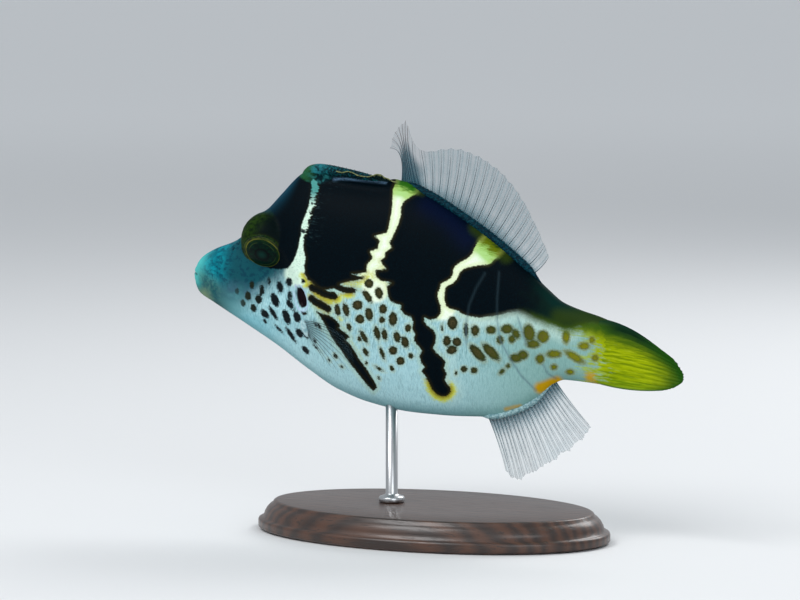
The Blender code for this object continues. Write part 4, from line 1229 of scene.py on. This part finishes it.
def standing_rays(roots, tips, bend, edge, sunk, leaning, wander=0.0, waists=()):
    """
    Paths of the rays of a fin on the line of the back or belly, from the pixels of their roots and tips. At
    each share of its length, the fin bends to the side by bend, and its rays' middles lean by leaning.
    """
    rays = []
    for i, (root_pixel, (tip_x, tip_y)) in enumerate(zip(roots, tips)):
        share = i / (len(roots) - 1)
        aside = float(bend(share))
        start = on_plane(root_pixel, 0.0)
        start[2] = float(edge(start[0])) + sunk
        tip_x += wander * 1.3 * math.sin(2.2 * i)
        tip_y += wander * 1.5 * math.sin(1.7 * i + 1.0)
        end = on_plane((tip_x, tip_y), aside)
        if i < len(waists):
            through = on_plane(waists[i], aside * 0.35)
        else:
            back, up = leaning(share)
            through = (start + end) / 2 + np.array((back, aside * -0.12, up))
        rays.append(arched(start, end, through))
    return rays


def web(rays, slack):
    """The clear skin between rays, slack between them and notched along its free edge."""
    columns = []
    at = np.linspace(0, 1, RAY_STEPS)
    for i, (ray, next_ray) in enumerate(zip(rays, rays[1:])):
        for t in np.arange(COLUMNS_BETWEEN) / COLUMNS_BETWEEN:
            dip = math.sin(math.pi * t)
            reach = at * (1 - EDGE_NOTCH * dip)
            line = ray * (1 - t) + next_ray * t
            line = np.stack([np.interp(reach, at, values) for values in line.T], axis=-1)
            line[:, 1] += slack * dip * (-1) ** i * reach
            columns.append(line)
    grid = np.array(columns + [rays[-1]])
    return leaf(grid, np.broadcast_to(WEB_HALF_THICK * (1.0 - 0.6 * at), grid.shape[:2])), len(grid)


def ray_tubes(rays, base, tip):
    """Tapering rays along their paths."""
    taper = base + (tip - base) * np.linspace(0, 1, RAY_STEPS) ** 0.8
    return joined([tube(path, taper, taper * 0.9, RAY_SEGMENTS) for path in rays])


def fin_ray_finish(name, dark_tone, pale_tone, tip_tone):
    rays = Finish(name, roughness=0.45, specular_ior_level=0.25)
    grit = rays.noise(rays.place(), 3.0, 3.0, 0.6)
    tone = rays.layered(
        dark_tone,
        (grit.rises(0.35, 0.65), pale_tone),
        (rays.field("reach").rises(0.35, 1.0) * 0.4, tip_tone),
        (rays.field("tuft") * 0.8, (16, 46, 62)),
        (rays.field("browned") * 0.75, (84, 54, 46)),
    )
    rays.feed("Base Color", tone)
    rays.feed("Alpha", 1.0 - rays.field("reach").rises(0.45, 1.1) * (1.0 - rays.field("tuft")) * 0.65)
    return rays


def clear_skin_finish(name, tone, root_tone, alpha):
    clear = Finish(name, roughness=0.35, specular_ior_level=0.2)
    where = clear.place()
    cloud = clear.noise(where, 0.5, 3.0)
    reach = clear.field("reach")
    tuft = clear.field("tuft")
    clear.feed("Base Color", clear.mixed(reach.rises(0.3, 0.02) + tuft, tone, root_tone))
    folds = clear.field("fold").rises(0.7, 1.0) * 1.6
    bare = (reach.rises(0.4, 0.0) * 5.0 + cloud * 1.6 + folds + 0.5) * (1.0 - tuft * 0.6) * alpha
    clear.feed("Alpha", bare + tuft * reach.rises(0.75, 0.35) * 0.5)
    return clear


fin_rays = fin_ray_finish("fin_rays", (26, 56, 66), (68, 98, 106), (98, 126, 134))
fin_skin = clear_skin_finish("fin_skin", (104, 138, 148), (22, 78, 92), 0.11)


def in_tuft(points, heights, places):
    """How far points lie in the tuft, above the heights and ahead of the places."""
    return ease(points[:, 2], *heights) * (1 - ease(points[:, 0], *places))


def make_fin(name, rays, ray_half, slack, ray_finish, skin_finish):
    """A soft fin from the paths of its rays: the rays, and the clear skin they carry."""
    at = np.linspace(0, 1, RAY_STEPS)
    points, faces = ray_tubes(rays, *ray_half)
    reach = np.tile(np.repeat(at, RAY_SEGMENTS), len(rays))
    tuft, browned = in_tuft(points, *TUFT), in_tuft(points, *TUFT_TIP)
    mesh = fish_mesh(name + "_rays", points, faces, reach=reach, browned=browned, tuft=tuft)
    make_piece(name + "_rays", mesh, ray_finish, (name,))
    (points, faces), columns = web(rays, slack)
    between = np.abs(np.sin(np.arange(columns) * math.pi * 2 / COLUMNS_BETWEEN))
    folds = np.tile(np.repeat(between, RAY_STEPS), 2)
    reach = np.tile(at, 2 * columns)
    mesh = fish_mesh(name + "_skin", points, faces, reach=reach, tuft=in_tuft(points, *TUFT), fold=folds)
    make_piece(name + "_skin", mesh, skin_finish, (name,))


dorsal_rays = standing_rays(
    DORSAL_ROOTS, DORSAL_TIPS, smooth_line(DORSAL_BEND), back_line, -ROOT_SUNK,
    leaning=lambda share: (0.25, 0.0), waists=DORSAL_WAISTS,
)
anal_rays = standing_rays(
    ANAL_ROOTS, ANAL_TIPS, smooth_line(ANAL_BEND), belly_line, ROOT_SUNK,
    leaning=lambda share: (0.35 - 0.5 * share, -0.1), wander=1.0,
)
make_fin("dorsal_fin", dorsal_rays, DORSAL_RAY_HALF, WEB_SLACK, fin_rays, fin_skin)
make_fin("anal_fin", anal_rays, ANAL_RAY_HALF, WEB_SLACK, fin_rays, fin_skin)

# The fleshy, scaly ridges at the roots of the two fins. Each runs along the back or belly, and has a start,
# an end, a lift and a half height.
ROOT_STEPS = 150
ROOT_HALF_WIDTH = 0.66
ROOT_SEGMENTS = 18
ROOT_SWELLS_OVER, ROOT_SHRINKS_OVER = 2.0, 4.0
ROOT_SCALE_RISE, ROOT_SCALE_TURN = 0.06, 9.0
ridge = Finish("fin_root", specular_ior_level=0.06)
where = ridge.place()
up = ridge.parts(where)[2]
scales = ridge.noise(where, (2.6, 2.6, 4.0), 3.0, 0.7)
blue = ridge.mixed(scales.rises(0.4, 0.68), (0, 24, 36), (6, 60, 72))
pale = ridge.mixed(scales.rises(0.35, 0.7), (96, 134, 142), (168, 198, 200))
ridge.feed("Base Color", ridge.mixed(up.rises(-2.0, 2.0), pale, blue))
ridge.feed("Roughness", 0.4 + scales * 0.25)
ridge.bump(ridge.cells(where, 4.4) + scales, 0.45, 0.0001)
for name, line, start_s, end_s, lift, height in (
    ("dorsal_root", back_line, 36.2, 64.5, 0.22, 0.72),
    ("anal_root", belly_line, 55.8, 68.6, 0.0, 0.52),
):
    at = np.linspace(start_s, end_s, ROOT_STEPS)
    swell = ease(at, start_s, start_s + ROOT_SWELLS_OVER)
    swell = swell * (1 - ease(at, end_s - ROOT_SHRINKS_OVER, end_s)) + 0.02
    path = np.stack((at, np.zeros(ROOT_STEPS), line(at) + lift * swell), axis=-1)
    scaly = 1 + ROOT_SCALE_RISE * np.sin(at * ROOT_SCALE_TURN)
    wide, deep = ROOT_HALF_WIDTH * swell * scaly, height * swell * scaly
    mesh = fish_mesh(name, *tube(path, wide, deep, ROOT_SEGMENTS))
    make_piece(name, mesh, ridge)

# The side fins. Each is a small clear fan behind its gill slit, on a pale fleshy root, held a little off
# the flank, with fine grey-blue rays that curve down and back.
PECTORAL_ROOTS = [(304, 321), (308, 335)]
PECTORAL_TIPS = [
    (346, 340), (350, 345), (352.5, 351), (354, 357), (354, 362.5), (352.5, 367.5), (349, 371), (344, 373),
    (338, 372), (331.5, 368), (325, 362),
]
PECTORAL_ARCH = [4.5, 4.5, 4.3, 4.0, 3.6, 3.1, 2.6, 2.0, 1.4, 0.8, 0.3]
PECTORAL_OUT = (0.42, 1.0, 1.9)
PECTORAL_CUP = (0.0, 0.3, 0.5)
PECTORAL_RAY_HALF = (0.052, 0.018)
PECTORAL_SLACK = 0.05
PECTORAL_ROOT_HALF = (0.42, 0.62)
PECTORAL_ROOT_OUT = 0.28
FLANK_OUT = 6.5


def flank(s, h):
    """How far out the bare flank lies at a place."""
    edge, roundness = (back_line, back_roundness) if h > widest_at(s) else (belly_line, belly_roundness)
    reach = min(abs(float((h - widest_at(s)) / (edge(s) - widest_at(s)))), 1)
    return float(half_width(s)) * (1 - reach ** float(roundness(s))) ** (1 / float(roundness(s)))


def on_flank(pixel, off):
    """The place that shows at a pixel, off the near flank by so much. Each round comes nearer to it."""
    out = FLANK_OUT
    for _ in range(6):
        s, y, h = on_plane(pixel, -out)
        out = flank(s, h) + off
    return on_plane(pixel, -out)


side_rays = fin_ray_finish("side_fin_rays", (4, 18, 26), (20, 42, 50), (22, 44, 52))
side_skin_finish = clear_skin_finish("side_fin_skin", (96, 136, 144), (150, 188, 194), 0.01)
root_finish = Finish("side_fin_root", roughness=0.42)
root_cloud = root_finish.noise(root_finish.place(), 1.8, 3.0)
root_tone = root_finish.mixed(root_cloud.rises(0.35, 0.65), (120, 164, 172), (178, 208, 210))
root_finish.feed("Base Color", root_tone)
first_root, last_root = np.array(PECTORAL_ROOTS)
for side, name in ((-1, "left"), (1, "right")):
    turned_over = np.array((1.0, -side, 1.0))
    rays = []
    for i, (tip, arch) in enumerate(zip(np.array(PECTORAL_TIPS), PECTORAL_ARCH)):
        share = i / (len(PECTORAL_TIPS) - 1)
        root = first_root + (last_root - first_root) * share
        middle = (root + tip) / 2 + np.array((arch * 0.5, -arch))
        outs = [out + cup * math.sin(math.pi * share) for out, cup in zip(PECTORAL_OUT, PECTORAL_CUP)]
        stops = zip((root, middle, tip), outs)
        start, through, end = [on_flank(pixel, out) * turned_over for pixel, out in stops]
        rays.append(arched(start, end, through))
    make_fin("pectoral_fin_" + name, rays, PECTORAL_RAY_HALF, PECTORAL_SLACK, side_rays, side_skin_finish)
    at = np.linspace(-0.15, 1.15, 24)
    swell = np.sqrt(np.clip(1 - (at * 2 / 1.3 - 1 / 1.3) ** 2, 0, 1)) + 0.03
    pixels = first_root - (0.8, 0.0) + (last_root - first_root) * at[:, None]
    path = np.array([on_flank(pixel, PECTORAL_ROOT_OUT) * turned_over for pixel in pixels])
    wide, deep = PECTORAL_ROOT_HALF
    mesh = fish_mesh("pectoral_root_" + name, *tube(path, wide * swell, deep * swell, 16))
    make_piece("pectoral_root_" + name, mesh, root_finish)

# The tail fin, half folded. Its twelve stout rays branch twice towards the margin under an opaque yellow
# skin, with a dark green upper edge and a green tip.
TAIL_RAYS = 12
TAIL_COLUMNS_A_RAY = 22
TAIL_STEPS = 110
TAIL_ROOT = (75.0, 5.1, -5.35)
TAIL_MARGIN = [
    (0, 86.6, 1.2), (0.12, 88.3, 0.4), (0.25, 89.2, -0.6), (0.45, 90.1, -1.6), (0.62, 90.3, -2.4),
    (0.85, 89.2, -3.6), (1, 87.2, -4.5),
]
TAIL_BULGE = (0.95, 0.55)
TAIL_NOTCH = 0.10
TAIL_PLEAT = 0.05
TAIL_SWAY = 0.5
TAIL_FLESH = 1.15
TAIL_HALF_THICK = (0.34, 0.08)
TAIL_RAY_RISE = 0.035

# Over the tail, u runs from its upper edge to its lower one, and v from its root to its margin.
across_tail, out_tail = np.linspace(0, 1, TAIL_RAYS * TAIL_COLUMNS_A_RAY + 1), np.linspace(0, 1, TAIL_STEPS)
margin_at, margin_s, margin_h = np.array(TAIL_MARGIN).T
root_s, root_top, root_low = TAIL_ROOT
u, v = np.meshgrid(across_tail, out_tail, indexing="ij")
root_h = root_top + (root_low - root_top) * u
end_s, end_h = smooth_line(list(zip(margin_at, margin_s)))(u), smooth_line(list(zip(margin_at, margin_h)))(u)
notch = TAIL_NOTCH * np.abs(np.sin(u * TAIL_RAYS * math.pi)) * v**4
tail_s = root_s + (end_s - root_s - notch) * v
bulge = (TAIL_BULGE[0] * (1 - u) - TAIL_BULGE[1] * u) * 4 * v * (1 - v)
tail_h = root_h + (end_h - root_h) * v + bulge
pleats = TAIL_PLEAT * np.sin(u * TAIL_RAYS * math.pi * 2) * ease(v, 0.05, 0.5)
sway = TAIL_SWAY * np.sin(u * math.pi * 1.5 + 0.4) * v**2
tail_grid = np.stack((tail_s, pleats + sway, tail_h), axis=-1)
whole_ray, half_ray, quarter_ray = [0.5 + 0.5 * np.cos(u * TAIL_RAYS * k * math.pi) for k in (2, 4, 8)]
first_fork, second_fork = ease(v, 0.3, 0.45), ease(v, 0.6, 0.75)
ridges = whole_ray * (1 - first_fork) + half_ray * first_fork * (1 - second_fork) + quarter_ray * second_fork
edge_taper = np.minimum(1.0, np.minimum(u, 1 - u) * 30 + 0.15)
flesh = TAIL_FLESH * np.sqrt(np.clip(1 - (2 * u - 1) ** 2, 0.0, 1)) * (1 - ease(v, 0.0, 0.42))
half_thick = TAIL_HALF_THICK[0] * (1 - v) + TAIL_HALF_THICK[1] * v + TAIL_RAY_RISE * ridges * (1 - 0.5 * v)
half_thick = half_thick * edge_taper + flesh
across, reach, ray = (np.tile(values.ravel(), 2) for values in (u, v, ridges))
tail_mesh = fish_mesh("tail_fin", *leaf(tail_grid, half_thick), across=across, reach=reach, ray=ray)

tail = Finish("tail_skin", specular_ior_level=0.05)
where = tail.place()
across, reach, ray = tail.field("across"), tail.field("reach"), tail.field("ray")
lines = tail.noise(where, (0.22, 1.0, 3.0), 3.0, 0.6)
cloud = tail.noise(where, 0.4, 2.0)
upper_edge = across + (cloud - 0.5) * 0.12 - reach * 0.08
tail_colour = tail.layered(
    (152, 168, 0),
    (lines.rises(0.4, 0.65), (108, 130, 0)),
    (lines.rises(0.42, 0.32) * reach.rises(0.8, 0.1) * 0.5, (176, 190, 50)),
    (ray.rises(0.5, 0.0) * 0.14, (88, 112, 4)),
    ((across + (cloud - 0.5) * 0.12).rises(0.72, 1.0) * 0.6, (76, 116, 10)),
    (upper_edge.rises(0.42, 0.1), (46, 80, 12)),
    (upper_edge.rises(0.2, 0.04) * (reach.rises(0.0, 0.3) * 0.7 + 0.3), (8, 40, 18)),
    ((reach + (cloud - 0.5) * 0.2 - across * 0.18).rises(0.45, 0.9), (28, 74, 10)),
    ((across + reach * 0.04).rises(0.09, 0.02) * 0.8, (4, 42, 26)),
    (across.rises(0.965, 0.995) * 0.6, (26, 84, 70)),
)
tail_colour = tail.mixed(yellowing(tail, where), (138, 178, 152), tail_colour)
tail_orange = (across - reach * 1.6 + (lines - 0.5) * 1.2).rises(0.72, 0.95) * reach.rises(0.2, 0.04)
tail_colour = tail.mixed(tail_orange * 0.75, tail_colour, (188, 146, 6))
tail.feed("Base Color", tail_colour)
tail.feed("Roughness", 0.38 + cloud * 0.2)
tail.bump(lines + ray * 0.3, 0.2, 0.00006)
make_piece("tail_fin", tail_mesh, tail, ("tail_fin",))

# The stand. An oval foot of dark stained wood with a moulded edge, and a brushed steel rod let into it,
# which carries the fish under its belly.
FOOT_LENGTH, FOOT_WIDTH, FOOT_HEIGHT = 62.0, 38.0, 5.0
FOOT_SEGMENTS = 180
FOOT_EDGE = [
    (1.1, 0), (0.46, 0.25), (0.12, 0.4), (0, 0.55), (0, 1.5), (0.12, 1.78), (0.46, 1.95), (0.95, 2.1),
    (1.18, 2.9), (1.61, 3.6), (2.17, 4.15), (2.68, 4.4), (2.79, 4.75), (3.1, 4.93), (3.6, FOOT_HEIGHT),
    (16, FOOT_HEIGHT),
]
ROD_SEGMENTS = 48
# The collar round the rod's foot: how far out, against the rod's own radius, and how high.
COLLAR_GAP = 0.1
COLLAR = [
    (1.0, 0.0), (2.05, 0.0), (2.15, 0.12), (2.15, 0.7), (2.0, 0.9), (1.5, 1.05), (1.1, 1.25), (1.0, 1.4),
]

wood = Finish("stained_wood", coat_weight=0.35, coat_roughness=0.18)
wood_place = wood.wide_place()
grain_place, _ = wood.scaled(wood_place, (14.0, 90.0, 90.0))
grain = {"Vector": grain_place, "Scale": 2.0, "Distortion": 5.0, "Detail": 3.0, "Detail Scale": 1.4}
rings_wave = wood.add("ShaderNodeTexWave", {"wave_type": "BANDS", "bands_direction": "Y"}, grain, output=1)
pores = wood.noise(wood_place, (140.0, 2600.0, 2600.0), 3.0, 0.7)
tone = wood.layered(
    (38, 22, 14),
    (rings_wave, (74, 44, 27)),
    (pores.rises(0.56, 0.66) * 0.7, (16, 9, 6)),
)
wood.feed("Base Color", tone)
wood.feed("Roughness", 0.34 + pores * 0.2)
wood.bump(pores.rises(0.64, 0.56), 0.35, 0.00008)


def stood(profile, segments, middle=(0.0, 0.0), narrowed=1.0):
    """Rings of points: (out, height) profile points turned round an upright line."""
    angles = np.arange(segments) * 2 * math.pi / segments
    x, y = np.cos(angles), narrowed * np.sin(angles)
    rings = [(middle[0] + out * x, middle[1] + out * y, np.full(segments, height)) for out, height in profile]
    return np.concatenate([np.stack(ring, axis=-1) for ring in rings])


foot_profile = [(FOOT_LENGTH / 2 - inset, height) for inset, height in FOOT_EDGE]
foot_points = stood(foot_profile, FOOT_SEGMENTS, narrowed=FOOT_WIDTH / FOOT_LENGTH)
foot_points = np.vstack((foot_points, ((0, 0, 0), (0, 0, FOOT_HEIGHT))))
foot = closed_mesh("stand_foot", foot_points, ring_faces(len(foot_profile), FOOT_SEGMENTS))
make_piece("stand_foot", foot, wood, ("stand_base",))

steel = Finish("brushed_steel", metallic=1.0, base_color=colour(188, 190, 192))
steel_place = steel.wide_place()
brushing = steel.noise(steel_place, (6000.0, 6000.0, 260.0), 2.0, 0.6)
steel.feed("Roughness", 0.2 + brushing * 0.22)
steel.bump(brushing, 0.12, 0.00003)
rod_low, rod_high = (np.array(corner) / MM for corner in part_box("stand_rod"))
rod_middle, rod_radius = (rod_low + rod_high) / 2, (rod_high[0] - rod_low[0]) / 2
low, high, seat = rod_low[2], rod_high[2], FOOT_HEIGHT + COLLAR_GAP
rod_profile = [(0.55, low), (1.0, low), (1.0, seat), *((out, seat + lift) for out, lift in COLLAR)]
rod_profile += [(1.0, high), (0.55, high)]
rod_profile = [(out * rod_radius, height) for out, height in rod_profile]
rod_points = stood(rod_profile, ROD_SEGMENTS, rod_middle)
rod = closed_mesh("stand_pillar", rod_points, ring_faces(len(rod_profile), ROD_SEGMENTS, "flat"))
make_piece("stand_pillar", rod, steel, ("stand_rod",))

# The studio: a wide pale floor under soft square lamps, the main one high on the fish's left, a faint one
# lower and behind it, and one on the far side that picks out the fins.
FLOOR_HALF_METRES = 30.0
SKY, SKY_STRENGTH = (0.9, 0.95, 1.0, 1.0), 0.56
AIMED_AT = Vector((0.0, 0.0, 40.0))
floor_mesh = bpy.data.meshes.new("floor")
corners = ((-1, -1, 0), (1, -1, 0), (1, 1, 0), (-1, 1, 0))
corners = [(FLOOR_HALF_METRES * x, FLOOR_HALF_METRES * y, z) for x, y, z in corners]
floor_mesh.from_pydata(corners, [], [(0, 1, 2, 3)])
floor = bpy.data.objects.new("floor", floor_mesh)
bpy.context.scene.collection.objects.link(floor)
floor_finish = Finish("pale_floor", roughness=0.7)
floor_place = floor_finish.wide_place()
# Paler further from the stand: painted light that makes up for the lamps' light falling off across the floor.
far = floor_finish.add("ShaderNodeVectorMath", {"operation": "LENGTH"}, {0: floor_place}, output=1)
floor_finish.feed("Base Color", floor_finish.mixed(far.rises(0.3, 2.0), (226, 227, 228), (250, 251, 252)))
floor_mesh.materials.append(floor_finish.material)

world = bpy.data.worlds.new("studio")
bpy.context.scene.world = world
world.use_nodes = True
sky = world.node_tree.nodes["Background"].inputs
sky[0].default_value, sky[1].default_value = SKY, SKY_STRENGTH


def lamp(name, place, size, power, tint=(1, 1, 1), spread=180):
    """A soft square lamp at a place in millimetres, aimed at the fish."""
    data = bpy.data.lights.new(name, "AREA")
    data.size = size * MM
    data.energy = power
    data.color = tint
    data.spread = math.radians(spread)
    light = bpy.data.objects.new(name, data)
    light.visible_camera = False
    bpy.context.scene.collection.objects.link(light)
    light.location = Vector(place) * MM
    light.rotation_euler = (AIMED_AT * MM - light.location).to_track_quat("-Z", "Y").to_euler()


lamp("key", (-180, -420, 520), 300, 2.3)
lamp("fill", (420, -420, 240), 320, 0.34, (0.93, 0.97, 1.0), 110)
lamp("rim", (120, 420, 380), 260, 1.2)
bpy.context.scene.view_settings.view_transform = "Standard"
